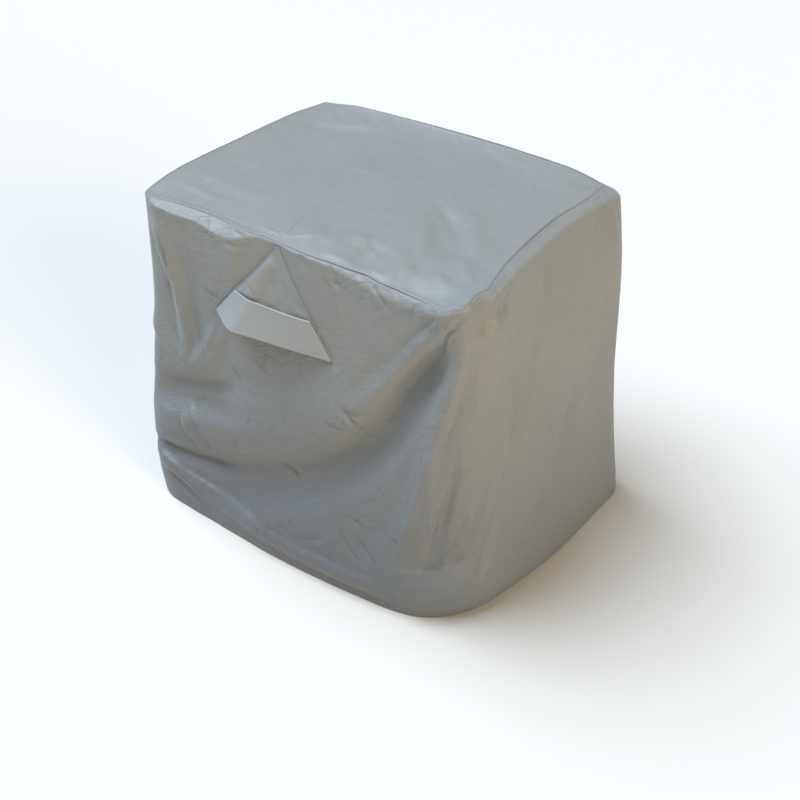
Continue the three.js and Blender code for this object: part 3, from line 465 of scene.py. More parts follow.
def clothMesh(name, outer, inner, flat, trim, ring=False, pole=None):
    # closed sheet from a grid of points on its outer face; the inner face is at every second row and column
    rows, columns = outer.shape[:2]
    index = np.arange(rows * columns).reshape(rows, columns)
    innerRows, innerColumns = inner.shape[:2]
    innerIndex = rows * columns + np.arange(innerRows * innerColumns).reshape(innerRows, innerColumns)
    if ring:
        index = np.concatenate([index, index[:, :1]], 1)
        innerIndex = np.concatenate([innerIndex, innerIndex[:, :1]], 1)
    quads = [np.stack([index[:-1, :-1], index[1:, :-1], index[1:, 1:], index[:-1, 1:]], -1).reshape(-1, 4),
             np.stack([innerIndex[:-1, :-1], innerIndex[:-1, 1:], innerIndex[1:, 1:], innerIndex[1:, :-1]],
                      -1).reshape(-1, 4)]
    points = np.concatenate([outer.reshape(-1, 3), inner.reshape(-1, 3)])
    flats = np.concatenate([flat.reshape(-1, 2), flat[::2, ::2].reshape(-1, 2)])
    trims = np.concatenate([trim.reshape(-1, 2), trim[::2, ::2].reshape(-1, 2)])
    faces = [quad for part in quads for quad in part.tolist()]
    smoothCount = len(faces)
    if pole is not None:                # closes the middle of a ring with a point on each face
        top, under = len(points), len(points) + 1
        points = np.concatenate([points, np.array(pole[0])])
        flats, trims = np.concatenate([flats, pole[1]]), np.concatenate([trims, trims[:1], trims[:1]])
        faces += [[a, b, top] for a, b in zip(index[0, :-1].tolist(), index[0, 1:].tolist())]
        faces += [[b, a, under] for a, b in zip(innerIndex[0, :-1].tolist(), innerIndex[0, 1:].tolist())]
        smoothCount = len(faces)
    if ring:
        loops = [(index[-1, ::-1], innerIndex[-1, ::-1])]
        if pole is None:
            loops.append((index[0], innerIndex[0]))
    else:
        around = lambda grid: np.concatenate([grid[0], grid[1:, -1], grid[-1, -2::-1], grid[-2::-1, 0]])
        loops = [(around(index), around(innerIndex))]
    for outerLoop, innerLoop in loops:
        o, i = outerLoop.tolist(), innerLoop.tolist()
        for k in range(len(i) - 1):
            faces += [[o[2 * k], o[2 * k + 1], i[k]], [o[2 * k + 1], i[k + 1], i[k]],
                      [o[2 * k + 1], o[2 * k + 2], i[k + 1]]]
    mesh = bpy.data.meshes.new(name)
    mesh.from_pydata((points * 0.001 + np.array(cover["toFrame"]) * 0.001).tolist(), [], faces)
    corners = np.array([v for face in faces for v in face])
    sizes = np.array([len(face) for face in faces])
    starts = np.concatenate([[0], np.cumsum(sizes)[:-1]])
    for layerName, source in (("clothFlat", flats), ("trimFlat", trims)):
        uv = source[corners].astype(float)
        if ring:                        # the last column's cells run on past the end of the girth
            widest = np.maximum.reduceat(trims[corners][:, 0], starts)
            lowest = np.minimum.reduceat(trims[corners][:, 0], starts)
            crossing = np.repeat(widest - lowest > girth / 2, sizes)
            if layerName == "trimFlat" or pole is None:
                uv[crossing & (uv[:, 0] < girth / 2), 0] += girth
        layer = mesh.uv_layers.new(name=layerName)
        layer.data.foreach_set("uv", (uv * 0.001).ravel())
    smooth = np.zeros(len(faces), bool)
    smooth[:smoothCount] = True
    mesh.polygons.foreach_set("use_smooth", smooth)
    mesh.validate()
    mesh.update()
    piece = bpy.data.objects.new(name, mesh)
    bpy.context.collection.objects.link(piece)
    return piece


def steps(pairs, start=0.0):            # stations or rows: the step from one to the next, up to each value
    values, low = [], start
    for to, step in pairs:
        count = max(1, round(abs(to - low) / step))
        values += [low + (to - low) * k / count for k in range(count)]
        low = to
    return values + [low]


def wallSkin(s, height):                # outer face of the wall below the bend, with its main folds only
    bendEnd = bendEndAt(s)
    plan = planPoint(s, height)
    relief = aroundRelief(folds, s, height) * smoothStep(1 - height / bendEnd, 0, cover["wallFoldStart"])
    relief = relief + edgeWobble(s)[0] * (1 - smoothStep(bendEnd - height, 0, edgeWave["reach"]))
    plan = plan + planOutward(s, height) * relief[..., None]
    return np.concatenate([plan, height[..., None]], -1)


def bendRadiusAt(s):
    return np.minimum(cover["narrowBend"] * aroundGirth(edge, 1, s), aroundGirth(foldEdge, 1, s))


# small waves of the fold edge: length and seed, how far they reach down the wall
edgeWave = {"out": (19, 71), "down": (27, 73), "reach": 30}


def edgeWobble(s):                      # small ups and downs of the fold edge, out and down
    size = aroundGirth(foldEdge, 2, s)
    return [size * lineNoise(s, *edgeWave[way]) for way in ("out", "down")]


def foldLevelAt(s):
    return cover["seamHeight"] + aroundGirth(edge, 3, s) - aroundGirth(edge, 2, s) - edgeWobble(s)[1]


def bendEndAt(s):
    return foldLevelAt(s) - bendRadiusAt(s)


def lapSkin(s, lap):                    # outer face of the wall's cloth from the seam, over the fold edge
    out, radius = edgeWobble(s)[0], bendRadiusAt(s)
    width = aroundGirth(edge, 1, s) + out
    seamLevel, foldLevel = cover["seamHeight"] + aroundGirth(edge, 3, s), foldLevelAt(s)
    bendEnd, tilt = foldLevel - radius, (seamLevel - foldLevel) / width
    outward = lapOutward(s, bendEnd)
    corner = planPoint(s, foldLevel) + outward * out[..., None]
    share = cover["bendShare"]
    across = -width + (width - radius) * lap / share
    flatPart = np.concatenate([corner + outward * across[..., None],
                               (seamLevel - tilt * (across + width))[..., None]], -1)
    t = (lap - share) / (1 - share)
    below = planPoint(s, bendEnd) + outward * out[..., None] - corner
    plan = corner - outward * (radius * (1 - t) ** 2)[..., None] + below * (t**2)[..., None]
    level = (foldLevel + tilt * radius) * (1 - t) ** 2 + foldLevel * 2 * t * (1 - t) + bendEnd * t**2
    bent = np.concatenate([plan, level[..., None]], -1)
    return np.where((lap < share)[..., None], flatPart, bent)


def innerFace(outer, normals):          # the other face, one thickness behind, at every second row and column
    return (outer - normals * cover["thickness"])[::2, ::2]


# the wall: one cloth wrapped round the four sides, from the lid's seam over the fold edge down to the hem
wall = {
    "columns": [(60, 5), (860, 4), (950, 4.6), (1440, 10), (1560, 7), (2240, 15), (2360, 9), (2900, 14),
                (2980, 7)],
    "lapRows": 20, "lapSpacing": 1.25,             # down to the end of the bend, closer together by the seam
    "top": 812.0,                                  # height that the rows below the bend are counted from
    "rows": [(720, 4.0), (60, 5.2), (26, 4.2), (18, 1.6), (0, 3.6)],
    "wrinkleSeed": 11,
    "hills": [(190, 260, 1.6, 3), (74, 110, 0.9, 5), (34, 46, 0.32, 8)],   # size along, size up, height, seed
    "hillSlant": 0.35,
    "plainBySeam": 9, "plainByVent": (-14, -4),    # where the creases and hills die away
    "grooveDepth": 1.1, "grooveWidth": 2.2,        # of the seam with the lid
    "lipHeight": 0.5, "lipPlace": 5.0, "lipWidth": 2.6,
    "puckerDepth": 0.7, "puckerWave": (15.0, 21), "puckerPlace": 8, "puckerWidth": 7,
    "hemHeight": 22.0, "hemStep": 0.7, "hemEdge": (-1.2, 0.6),
    "hemDip": 0.5, "hemDipPlace": 2.0, "hemDipWidth": 2.4,
}

vent = {
    "apex": (374, 834), "lowerLeft": (208, 630), "lowerRight": (510, 615),
    "standOff": 49, "flare": 2.4,       # off the wall at the bottom edge, and how late it gets there
    "peak": 0.25, "peakBlend": 9,       # where across it stands off most, how sharp it is there
    "seamRise": -1.4,
    "sunk": 2.0, "sinkEdge": (-0.6, 2.4),          # the wall sinks a little inside the vent's outline
    "hoodFrom": 0.03, "hoodGrid": (128, 84), "hoodHills": (26, 34, 0.5, 31),
    "plainBySide": 20, "plainUnderBand": (0.6, 0.68),
    "seamWidth": 6.0, "seamGroove": 0.35, "seamGrooveWidth": 1.6, "seamLength": 256,
    "seamRidge": 0.3, "seamRidgePlace": 2.4, "seamRidgeWidth": 2.0,   # its allowance under the cloth
    "bandFrom": 0.635, "bandGrid": (128, 40), "bandInset": 0.012, "bandGap": 0.9,
    "bandHills": (60, 60, 0.45, 41),
    "rimRise": 8, "rimRound": 0.6,      # how far the band's rim stands off the hood, how blunt its ends are
    "drop": 205, "bandGroove": 0.35, "bandGroovePlace": 7, "bandGrooveWidth": 1.4,
}


def insideVent(s, h):                   # millimetres inside the vent's outline, negative outside it
    corners = [np.array(vent[name], float) for name in ("apex", "lowerLeft", "lowerRight")]
    depth = np.full(s.shape, 1e9)
    for a, b in zip(corners, corners[1:] + corners[:1]):
        way = (b - a) / np.linalg.norm(b - a)
        depth = np.minimum(depth, way[0] * (h - a[1]) - way[1] * (s - a[0]))
    return depth


def seamShare(s):                       # the seam lies closer at the back and on the left
    tight = smoothStep(s, *cover["tightFrom"]) * (1 - smoothStep(s, *cover["tightTo"]))
    return 1 - cover["tightSeam"] * tight


def seamRelief(sizes, s, fromSeam):     # lip, groove and puckers beside the seam of lid and wall
    relief = sizes["lipHeight"] * hump(fromSeam, sizes["lipPlace"], sizes["lipWidth"])
    relief -= sizes["grooveDepth"] * seamShare(s) * hump(fromSeam, 0, sizes["grooveWidth"])
    puckers = lineNoise(s, *sizes["puckerWave"]) * hump(fromSeam, sizes["puckerPlace"], sizes["puckerWidth"])
    return relief + sizes["puckerDepth"] * puckers * smoothStep(fromSeam, 1, 5)


def makeWall():
    columns = np.array(steps(wall["columns"])[:-1])
    columns = columns[:len(columns) // 2 * 2]      # the inner face takes every second one
    laps = np.linspace(0, 1, wall["lapRows"] + 1) ** wall["lapSpacing"]
    shares = 1 - np.array(steps(wall["rows"], wall["top"])[1:]) / wall["top"]
    if (len(laps) + len(shares)) % 2 == 0:
        shares = np.insert(shares, 0, shares[0] / 2)
    s, lap = np.meshgrid(columns, laps)
    top = lapSkin(s, lap)
    below, share = np.meshgrid(columns, shares)
    low = wallSkin(below, bendEndAt(below) * (1 - share))
    points, s = np.concatenate([top, low]), np.concatenate([s, below])
    gaps = np.linalg.norm(np.diff(top, axis=0), axis=-1)
    fromSeam = np.concatenate([np.zeros((1, len(columns))), np.cumsum(gaps, 0)])
    h = np.concatenate([bendEndAt(columns) + fromSeam[-1] - fromSeam, low[..., 2]])
    fromSeam = np.concatenate([fromSeam, fromSeam[-1] + bendEndAt(columns) - low[..., 2]])
    normals = gridNormals(points, True)

    fine = aroundRelief(creases, s, h) + aroundRelief(scatterWrinkles(wrinkles, wall["wrinkleSeed"]), s, h)
    for sizeS, sizeH, height, seed in wall["hills"]:
        fine += height * softNoise(s + wall["hillSlant"] * h, h, sizeS, sizeH, seed, closed=True)
    inside = insideVent(s, h)
    fine *= smoothStep(fromSeam, 0, wall["plainBySeam"]) * (1 - smoothStep(inside, *wall["plainByVent"]))
    fine -= vent["sunk"] * smoothStep(inside, *vent["sinkEdge"])
    fine += seamRelief(wall, s, fromSeam)
    fromHem = h - wall["hemHeight"]
    fine += wall["hemStep"] * (1 - smoothStep(fromHem, *wall["hemEdge"]))
    fine -= wall["hemDip"] * hump(fromHem, wall["hemDipPlace"], wall["hemDipWidth"])
    outer = points + normals * fine[..., None]
    outer[-1, :, 2] = 0.0
    back = innerFace(outer, normals)
    back[-1, :, 2] = 0.0
    back[0] = outer[0, ::2] - np.array([0, 0, cover["thickness"]])
    flat, trim = np.stack([s, h], -1), np.stack([s, fromSeam], -1)
    return clothMesh("wallCloth", outer, back, flat, trim, ring=True), columns


def ventSkin(a, b, extra):              # a across from the left seam, b down from the apex
    apex, left, right = (vent[name] for name in ("apex", "lowerLeft", "lowerRight"))
    s, h = (apex[k] + b * ((left[k] - apex[k]) * (1 - a) + (right[k] - apex[k]) * a) for k in (0, 1))
    blend, peak = vent["peakBlend"], vent["peak"]
    ridge = -np.log(np.exp(-blend * a / peak) + np.exp(-blend * (1 - a) / (1 - peak))) / blend
    off = vent["seamRise"] + vent["standOff"] * b ** vent["flare"] * np.maximum(ridge, 0)
    skin = wallSkin(s, np.minimum(h, bendEndAt(s) * (1 - 1e-6)))
    skin[..., :2] += planOutward(s, h) * (off + extra + cover["thickness"])[..., None]
    return skin, s, h


def makeHood():
    columns, rows = vent["hoodGrid"]
    first = vent["hoodFrom"]
    a, b = np.meshgrid(np.linspace(0, 1, columns + 1), first + (1 - first) * np.linspace(0, 1, rows + 1))
    points, s, h = ventSkin(a, b, 0)
    normals = gridNormals(points, False)
    width = np.linalg.norm(points[:, -1] - points[:, 0], axis=-1)[:, None]
    fromSide = np.minimum(a, 1 - a) * width
    fine = foldRelief(hoodCreases, s, h) * smoothStep(fromSide, 0, vent["plainBySide"])
    fine *= 1 - smoothStep(b, *vent["plainUnderBand"])
    sizeS, sizeH, height, seed = vent["hoodHills"]
    hills = height * softNoise(s, h, sizeS, sizeH, seed)
    fine += hills * smoothStep(fromSide, vent["seamWidth"], vent["plainBySide"])
    fine -= vent["seamGroove"] * hump(fromSide, vent["seamWidth"], vent["seamGrooveWidth"])
    fine += vent["seamRidge"] * hump(fromSide, vent["seamRidgePlace"], vent["seamRidgeWidth"])
    outer = points + normals * fine[..., None]
    flat, trim = np.stack([s, h], -1), np.stack([b * vent["seamLength"], fromSide], -1)
    return clothMesh("ventHood", outer, innerFace(outer, normals), flat, trim)


def makeBand():
    columns, rows = vent["bandGrid"]
    inset, first = vent["bandInset"], vent["bandFrom"]
    a, b = np.meshgrid(inset + (1 - 2 * inset) * np.linspace(0, 1, columns + 1),
                       first + (1 - first) * np.linspace(0, 1, rows + 1))
    lean = vent["rimRise"] * (1 - b) / (1 - first) * np.sin(np.pi * a) ** vent["rimRound"]
    points, s, h = ventSkin(a, b, cover["thickness"] + vent["bandGap"] + lean)
    normals = gridNormals(points, False)
    fromRim, fromHem = (b - first) * vent["drop"], (1 - b) * vent["drop"]
    sizeS, sizeH, height, seed = vent["bandHills"]
    fine = height * softNoise(s, h, sizeS, sizeH, seed)
    fine -= vent["bandGroove"] * hump(fromHem, vent["bandGroovePlace"], vent["bandGrooveWidth"])
    outer = points + normals * fine[..., None]
    flat, trim = np.stack([s, h], -1), np.stack([s, np.minimum(fromRim, fromHem)], -1)
    return clothMesh("ventBand", outer, innerFace(outer, normals), flat, trim)


# the hood's creases, the columns of the wall's folds
hoodCreases = [
    ((366, 806), (258, 662), 0, (22, 52), 5.8, (0.12, 0.25), 0.3, 0.25),      # ridge between its two facets
    ((352, 770), (420, 690), 0, (20, 40), -2.0, (0.2, 0.3), 0, 0.6),
    ((286, 742), (330, 700), 2, (4, 7), -1.8, (0.2, 0.4), 0, 0.1),
    ((306, 766), (322, 716), 0, (4, 6), 1.6, (0.2, 0.4), 0, 0.1),
    ((330, 790), (338, 730), 0, (4, 6), -1.4, (0.2, 0.4), 0, 0.1),
    ((268, 712), (300, 706), 0, (4, 6), 1.2, (0.2, 0.4), 0, 0.1),
    ((372, 770), (384, 706), 2, (8, 14), 1.6, (0.3, 0.3), 0, 0.4),
    ((420, 730), (440, 704), 0, (8, 12), -1.6, (0.3, 0.3), 0, 0.4),
]

lid = {
    "rings": [(8, 1.3), (30, 2.8), (110, 4.6), (330, 8.0)],   # steps from the seam inwards
    "middle": 338.0,
    "hills": [(150, 190, 1.3, 51), (62, 74, 0.5, 53)], "hillSlant": 0.3,
    "plainBySeam": (2, 14), "edgeStrip": 60,       # the distance from the seam is measured out to here
    "grooveDepth": 1.2, "grooveWidth": 2.2,
    "lipHeight": 0.45, "lipPlace": 5.5, "lipWidth": 2.8,
    "puckerDepth": 0.6, "puckerWave": (17.0, 61), "puckerPlace": 9, "puckerWidth": 8,
}


def makeLid(columns):
    seam = lapSkin(columns, columns * 0)
    inward = -lapOutward(columns, np.full(columns.shape, cover["seamHeight"])) * cover["seamGap"]
    seam[:, :2] += inward
    low, high = seam.min(0), seam.max(0)
    center = (low + high) / 2
    center[2] = cover["seamHeight"]
    fromEdge = np.array(steps(lid["rings"]))
    shares = 1 - fromEdge / lid["middle"]
    if len(shares) % 2 == 0:            # the inner face takes every second ring
        shares = np.append(shares, shares[-1] / 2)
    share = shares[:, None]
    plan = center[:2] + (seam[None, :, :2] - center[:2]) * share[..., None]
    x, y = plan[..., 0], plan[..., 1]
    spread = np.cos(np.clip((x - center[0]) / (high[0] - low[0]), -0.5, 0.5) * np.pi) \
        * np.cos(np.clip((y - center[1]) / (high[1] - low[1]), -0.5, 0.5) * np.pi)   # 0 at the seam, 1 inside
    lengths = np.linalg.norm(np.roll(seam, -1, 0)[:, :2] - np.roll(seam, 1, 0)[:, :2], axis=-1)
    rim = np.broadcast_to(seam[:, 2], x.shape).copy()   # the seam's level, nearer parts of it counting more
    fromSeam = (1 - share) * np.linalg.norm(seam[:, :2] - center[:2], axis=-1)
    for r in range(1, len(shares)):
        gap = np.linalg.norm(plan[r][:, None] - seam[None, :, :2], axis=-1)
        weight = lengths / np.maximum(gap, 1e-6) ** 3
        rim[r] = (weight * seam[:, 2]).sum(1) / weight.sum(1)
        if shares[r] >= 1 - lid["edgeStrip"] / lid["middle"]:
            fromSeam[r] = np.minimum(fromSeam[r], gap.min(1))   # square to the seam
    relief = cover["crown"] * spread + foldRelief(lidFolds, x, y)
    level = cover["seamHeight"] + (rim - cover["seamHeight"]) * (1 - spread) ** cover["lidPull"] \
        + relief * smoothStep(spread, 0, cover["lidFoldStart"])
    points = np.concatenate([plan, level[..., None]], -1)
    fine = foldRelief(lidCreases, x, y)
    for sizeX, sizeY, height, seed in lid["hills"]:
        fine += height * softNoise(x + lid["hillSlant"] * y, y, sizeX, sizeY, seed)
    fine *= smoothStep(fromSeam, *lid["plainBySeam"])
    s = np.broadcast_to(columns, x.shape)
    fine += seamRelief(lid, s, fromSeam)
    outer = points.copy()
    outer[..., 2] += fine
    outer, plan, s, fromSeam = outer[::-1], plan[::-1], s[::-1], fromSeam[::-1]
    down = np.array([0, 0, cover["thickness"]])
    middle = center.copy()
    middle[2] = outer[0, :, 2].mean()
    poles = ([middle, middle - down], [middle[:2], middle[:2]])
    trim = np.stack([s, fromSeam], -1)
    return clothMesh("lidCloth", outer, outer[::2, ::2] - down, plan, trim, ring=True, pole=poles)


wallCloth, columns = makeWall()
lidCloth = makeLid(columns)
ventHood, ventBand = makeHood(), makeBand()
for piece in (wallCloth, lidCloth, ventHood, ventBand):
    print(piece.name, sum(len(face.vertices) - 2 for face in piece.data.polygons), "triangles")


# finish of each cloth: its slot, strength of its crumples, color, share of it in the darker clouds,
# roughness, share of its color in the painted shade along the edge (above 1 a painted highlight), how far in
# its stitches run in metres
cloth = {
    "lidCloth": {"slot": "lid_cloth", "crumple": 0.5, "color": (0.22, 0.216, 0.196), "shade": 0.9,
                 "roughness": (0.46, 0.62), "edge": 0.36, "stitch": 0.0034},
    "wallCloth": {"slot": "wall_cloth", "crumple": 1.0, "color": (0.22, 0.216, 0.196), "shade": 0.88,
                  "roughness": (0.46, 0.64), "edge": 0.36, "stitch": 0.0034},
    "ventHood": {"slot": "hood_cloth", "crumple": 0.6, "color": (0.231, 0.232, 0.21), "shade": 0.9,
                 "roughness": (0.44, 0.6), "edge": 0.36, "stitch": 0.0034},
    "ventBand": {"slot": "stiffened_cloth", "crumple": 0.15, "color": (0.268, 0.270, 0.255), "shade": 0.94,
                 "roughness": (0.4, 0.52), "edge": 1.28, "stitch": 0.006},
}
thread = {"weave": 0.0011, "width": 0.0006, "pitch": 0.0042, "gap": 0.26, "hemPlace": 0.0195,
          "tone": 0.55, "cover": 0.55}
# painted shade towards the hem: heights it fades over, the turn from the front to the right wall, its tint on
# each side, none above
paintedHemShade = {"upTo": (0.06, 0.66), "turn": (0.66, 0.94),
           "front": (0.53, 0.55, 0.6), "right": (0.69, 0.75, 0.86), "unshaded": (1.0, 1.0, 1.0)}
# noises of the cloth: scale, detail, roughness; those of its crumples: turn, squeeze, scale, detail
noises = {"yarn": (900, 2, 0.55), "cloud": (5.5, 4, 0.55), "blotch": (38, 3, 0.6)}
crumples = {"crumple": (0.5, 0.55, 24, 4), "finer": (-0.4, 0.7, 95, 3)}
# pressed creases: size, stretch, angle, sharpness, place in the noise; scale and place of their patches
pressed = {
    "facets": (0.085, 1.7, 0.6, 2.2, 3.0), "folded": (0.034, 2.2, -0.7, 9.0, 5.0),
    "hatch": (0.012, 5.0, 0.2, 9.0, 7.0), "slanted": (0.012, 4.0, 2.05, 9.0, 9.0),
}
patched = {"folded": (6, 1.0), "hatch": (7, 2.0), "slanted": (7, 4.0)}
# along the girth: from, to, what share of them shows before it and after it
hatchFading, seamFading = (0.78, 0.98, 1.0, 0.3), (1.36, 1.5, 0.7, 0.15)
paintedEdges = {"width": 0.0018, "hood": 0.3, "rim": 1.6, "rimHeights": (0.64, 0.66)}   # painted shade along the edges, painted highlight along the band's rim
# shares of two patterns in one, and the ranges that their sum is spread over
blending = {"tone": (0.55, 0.45), "grain": (0.5, 0.5), "gloss": (0.6, 0.4)}
toneRange, grainRange = (0.32, 0.68), (0.0, 1.0, 0.9, 1.08)
coating = {"Sheen Weight": 0.12, "Sheen Roughness": 0.45, "Specular IOR Level": 0.5}
# relief of the cloth: how far each kind reaches in metres, its strength
crumpling = {"facets": (0.004, 0.5), "crumple": (0.005, 0.6), "folded": (0.0018, 0.55),
             "hatch": (0.0008, 0.7), "slanted": (0.0008, 0.7), "finer": (0.0008, 0.5)}
sewing = {"weave": (0.00012, 0.55), "stitches": (0.0006, 0.8)}


def makeCloth(name, finish, hem):
    material = bpy.data.materials.new(name + "Finish")
    material.use_nodes = True
    nodes, links = material.node_tree.nodes, material.node_tree.links
    shader = nodes["Principled BSDF"]

    def join(value, socket):
        if isinstance(value, bpy.types.NodeSocket):
            links.new(value, socket)
        else:
            socket.default_value = value

    def node(kind, inputs, **settings):
        made = nodes.new("ShaderNode" + kind)
        for key, value in settings.items():
            setattr(made, key, value)
        for key, value in inputs.items():
            join(value, made.inputs[key])
        return made

    def calculate(operation, a, b=0.0, clamp=False):
        return node("Math", {0: a, 1: b}, operation=operation, use_clamp=clamp).outputs[0]

    def ranged(value, low, high, first=0.0, last=1.0):   # low to high becomes first to last
        ends = {"Value": value, "From Min": low, "From Max": high, "To Min": first, "To Max": last}
        return node("MapRange", ends).outputs[0]

    def mixed(share, first, second, blend="MIX"):
        return node("Mix", {0: share, 6: first, 7: second}, data_type="RGBA", blend_type=blend).outputs[2]

    def noise(place, scale, detail, rough=0.5):
        sizes = {"Vector": place, "Scale": scale, "Detail": detail, "Roughness": rough}
        return node("TexNoise", sizes).outputs["Fac"]

    def turned(angle, scale, location=(0, 0, 0), kind="POINT"):
        turns = {"Vector": flat, "Location": location, "Rotation": (0, 0, angle), "Scale": scale}
        return node("Mapping", turns, vector_type=kind).outputs[0]

    def creaseLines(size, stretch, angle, sharp, place):   # grooves on the level lines of a stretched noise
        lines = noise(turned(angle, (size, size * stretch, 1), (place, place * 0.7, 0), "TEXTURE"), 1.0, 1.0)
        return calculate("MULTIPLY", calculate("ABSOLUTE", calculate("SUBTRACT", lines, 0.5)), sharp, True)

    def patches(scale, place):          # where a set of creases shows
        moved = node("VectorMath", {0: flat, 1: (place, 0, 0)}, operation="ADD").outputs[0]
        return calculate("MULTIPLY", calculate("SUBTRACT", noise(moved, scale, 1.0), 0.46), 7.0, True)

    def stitches(distance, way, place): # short threads in a row, at one distance from an edge
        off = calculate("ABSOLUTE", calculate("SUBTRACT", distance, place))
        across = calculate("SUBTRACT", 1.0, calculate("DIVIDE", off, thread["width"]), True)
        turn = calculate("FRACT", calculate("DIVIDE", way, thread["pitch"]))
        return calculate("MULTIPLY", across, calculate("GREATER_THAN", turn, thread["gap"]))

    def blended(kind, first, second):
        parts = [calculate("MULTIPLY", value, share) for value, share in zip((first, second), blending[kind])]
        return calculate("ADD", *parts)

    def tinted(share):
        return tuple(value * share for value in finish["color"]) + (1,)

    flat = node("UVMap", {}, uv_map="clothFlat").outputs[0]
    trim = node("UVMap", {}, uv_map="trimFlat").outputs[0]
    u, v = node("SeparateXYZ", {0: flat}).outputs[:2]
    along, inFrom = node("SeparateXYZ", {0: trim}).outputs[:2]

    # plain weave: each thread crosses over and under the next
    waves = (calculate("SINE", calculate("MULTIPLY", way, math.pi / thread["weave"])) for way in (u, v))
    warp, weft = (calculate("ABSOLUTE", wave) for wave in waves)
    heights = {"weave": calculate("MULTIPLY", warp, weft)}
    heights["stitches"] = stitches(inFrom, along, finish["stitch"])
    yarn, cloud, blotch = (noise(flat, *noises[kind]) for kind in ("yarn", "cloud", "blotch"))
    for kind, (angle, squeeze, scale, detail) in crumples.items():
        heights[kind] = noise(turned(angle, (1, squeeze, 1)), scale, detail)
    for kind, sizes in pressed.items():
        heights[kind] = creaseLines(*sizes)
        if kind in patched:
            heights[kind] = calculate("MULTIPLY", heights[kind], patches(*patched[kind]))
    if hem:                             # the front is the most crumpled side
        front = ranged(u, *hatchFading)
        for kind in ("hatch", "slanted"):
            heights[kind] = calculate("MULTIPLY", heights[kind], front)
        heights["stitches"] = calculate("MAXIMUM", heights["stitches"], stitches(v, u, thread["hemPlace"]))

    # color: clouds, threads, painted shade towards the hem, painted shade and highlight along the edges, and
    # stitches
    tone = blended("tone", cloud, blotch)
    color = mixed(ranged(tone, *toneRange), tinted(finish["shade"]), tinted(1.0))
    grain = blended("grain", heights["weave"], yarn)
    color = mixed(1.0, color, ranged(grain, *grainRange), "MULTIPLY")
    if hem:                             # painted shade towards the hem, darker on the front than on the right wall
        front, right, unshaded = (paintedHemShade[place] + (1,) for place in ("front", "right", "unshaded"))
        lowShade = mixed(ranged(u, *paintedHemShade["turn"]), front, right)
        color = mixed(1.0, color, mixed(ranged(v, *paintedHemShade["upTo"]), lowShade, unshaded), "MULTIPLY")
    # painted shade along the seams and the hood's edges, painted highlight along the band's rim
    edgeShadeAndHighlight = calculate("SUBTRACT", 1.0, calculate("DIVIDE", inFrom, paintedEdges["width"]), True)
    if name == "ventBand":              # painted highlight along its stiff rim, none on its lower edge
        edgeShadeAndHighlight = calculate("MULTIPLY", edgeShadeAndHighlight, paintedEdges["rim"], True)
        edgeShadeAndHighlight = calculate("MULTIPLY", edgeShadeAndHighlight, ranged(v, *paintedEdges["rimHeights"]))
    elif name == "ventHood":
        # painted shade along the hood's edges, fainter
        edgeShadeAndHighlight = calculate("MULTIPLY", edgeShadeAndHighlight, paintedEdges["hood"])
    else:                               # painted shade along the seam, less dark on the back and the left side
        edgeShadeAndHighlight = calculate("MULTIPLY", edgeShadeAndHighlight, ranged(along, *seamFading))
    color = mixed(edgeShadeAndHighlight, color, tinted(finish["edge"]))
    color = mixed(calculate("MULTIPLY", heights["stitches"], thread["cover"]), color, tinted(thread["tone"]))
    join(color, shader.inputs["Base Color"])

    gloss = blended("gloss", blotch, heights["weave"])
    join(ranged(gloss, 0.0, 1.0, *finish["roughness"]), shader.inputs["Roughness"])
    for key, value in coating.items():
        shader.inputs[key].default_value = value

    bump = {}
    for kinds, much in ((crumpling, finish["crumple"]), (sewing, 1.0)):
        for kind, (distance, strength) in kinds.items():
            bump.update({"Height": heights[kind], "Distance": distance, "Strength": strength * much})
            bump["Normal"] = node("Bump", bump).outputs[0]
    join(bump["Normal"], shader.inputs["Normal"])
    return material


nodeOf = {"lidCloth": "top_panel", "wallCloth": "wall", "ventHood": "vent_hood", "ventBand": "vent_band"}
for piece in (lidCloth, wallCloth, ventHood, ventBand):
    finish = cloth[piece.name]
    piece.data.materials.append(makeCloth(piece.name, finish, hem=piece is wallCloth))
    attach(piece, "root")
    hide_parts(nodeOf[piece.name])
print("finish")

# camera at the photograph's viewing angle
view = {"place": (1.06824, -1.73956, 1.7718), "azimuth": 30.827, "elevation": 36.281, "roll": 3.007,
        "lens": 44.456, "sensor": 36.0, "farthest": 100.0}


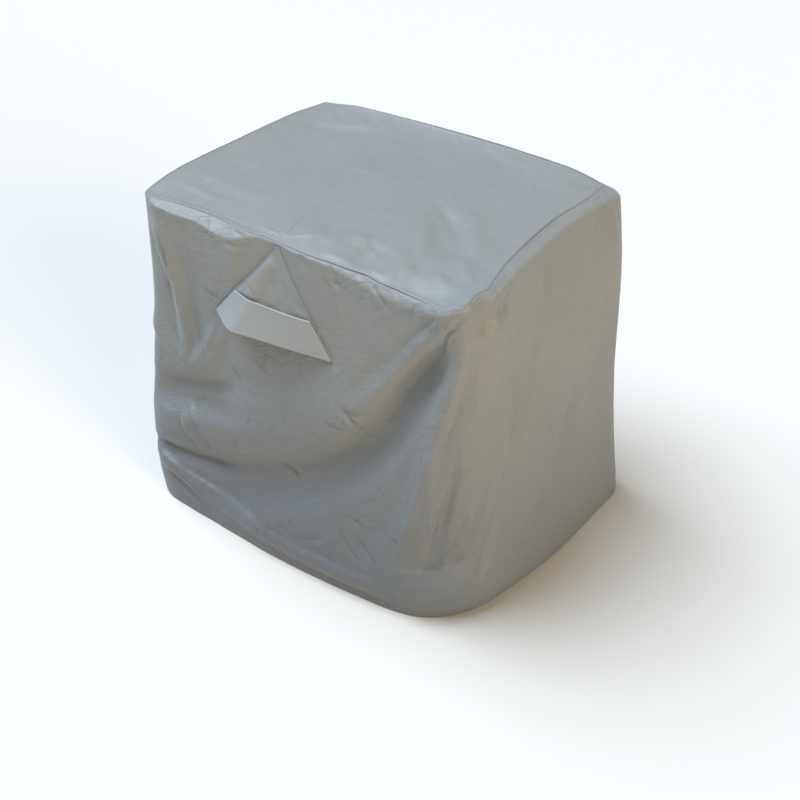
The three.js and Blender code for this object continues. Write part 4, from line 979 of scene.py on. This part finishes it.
def makeCamera():
    az, el, roll = (math.radians(view[key]) for key in ("azimuth", "elevation", "roll"))
    ahead = Vector((-math.sin(az) * math.cos(el), math.cos(az) * math.cos(el), -math.sin(el)))
    right = ahead.cross(Vector((0, 0, 1))).normalized()
    up = right.cross(ahead)
    turnedRight = math.cos(roll) * right + math.sin(roll) * up
    turnedUp = -math.sin(roll) * right + math.cos(roll) * up
    data = bpy.data.cameras.new("camera")
    data.lens, data.sensor_width, data.clip_end = view["lens"], view["sensor"], view["farthest"]
    camera = bpy.data.objects.new("camera", data)
    bpy.context.collection.objects.link(camera)
    turn = Matrix((turnedRight, turnedUp, -ahead)).transposed()
    camera.matrix_world = Matrix.Translation(view["place"]) @ turn.to_4x4()
    bpy.context.scene.camera = camera


makeCamera()

light = {
    "suns": [
        # name, towards the light, strength, color, how soft its shadows are in degrees
        ("sky", (-0.46, -0.16, 0.87), 5.4, (0.78, 0.95, 1.18), 44),
        ("warmSide", (0.9, -0.26, 0.3), 2.35, (1.14, 0.98, 0.74), 30),
    ],
    "around": ((0.84, 0.95, 1.0), 0.16),
    "floor": (0.61, 0.55, 0.48), "floorSize": 80, "floorLevel": -0.0005,
}


def makeStage():
    for name, towards, strength, color, softness in light["suns"]:
        data = bpy.data.lights.new(name, "SUN")
        data.energy, data.color, data.angle = strength, color, math.radians(softness)
        lamp = bpy.data.objects.new(name, data)
        bpy.context.collection.objects.link(lamp)
        lamp.location = Vector(towards) * 4
        lamp.rotation_euler = Vector(towards).to_track_quat("Z", "Y").to_euler()
    world = bpy.context.scene.world or bpy.data.worlds.new("world")
    bpy.context.scene.world = world
    world.use_nodes = True
    back = world.node_tree.nodes["Background"]
    color, strength = light["around"]
    back.inputs[0].default_value, back.inputs[1].default_value = color + (1,), strength
    bpy.ops.object.select_all(action="DESELECT")
    bpy.ops.mesh.primitive_plane_add(size=light["floorSize"], location=(0, 0, light["floorLevel"]))
    floor = bpy.context.object
    floor.name = "floor"
    paint = bpy.data.materials.new("floorPaint")
    paint.use_nodes = True
    shader = paint.node_tree.nodes["Principled BSDF"]
    shader.inputs["Base Color"].default_value = light["floor"] + (1,)
    shader.inputs["Roughness"].default_value = 0.9
    shader.inputs["Specular IOR Level"].default_value = 0.1
    floor.data.materials.append(paint)
    bpy.context.scene.view_settings.view_transform = "Standard"


makeStage()
print("stage")
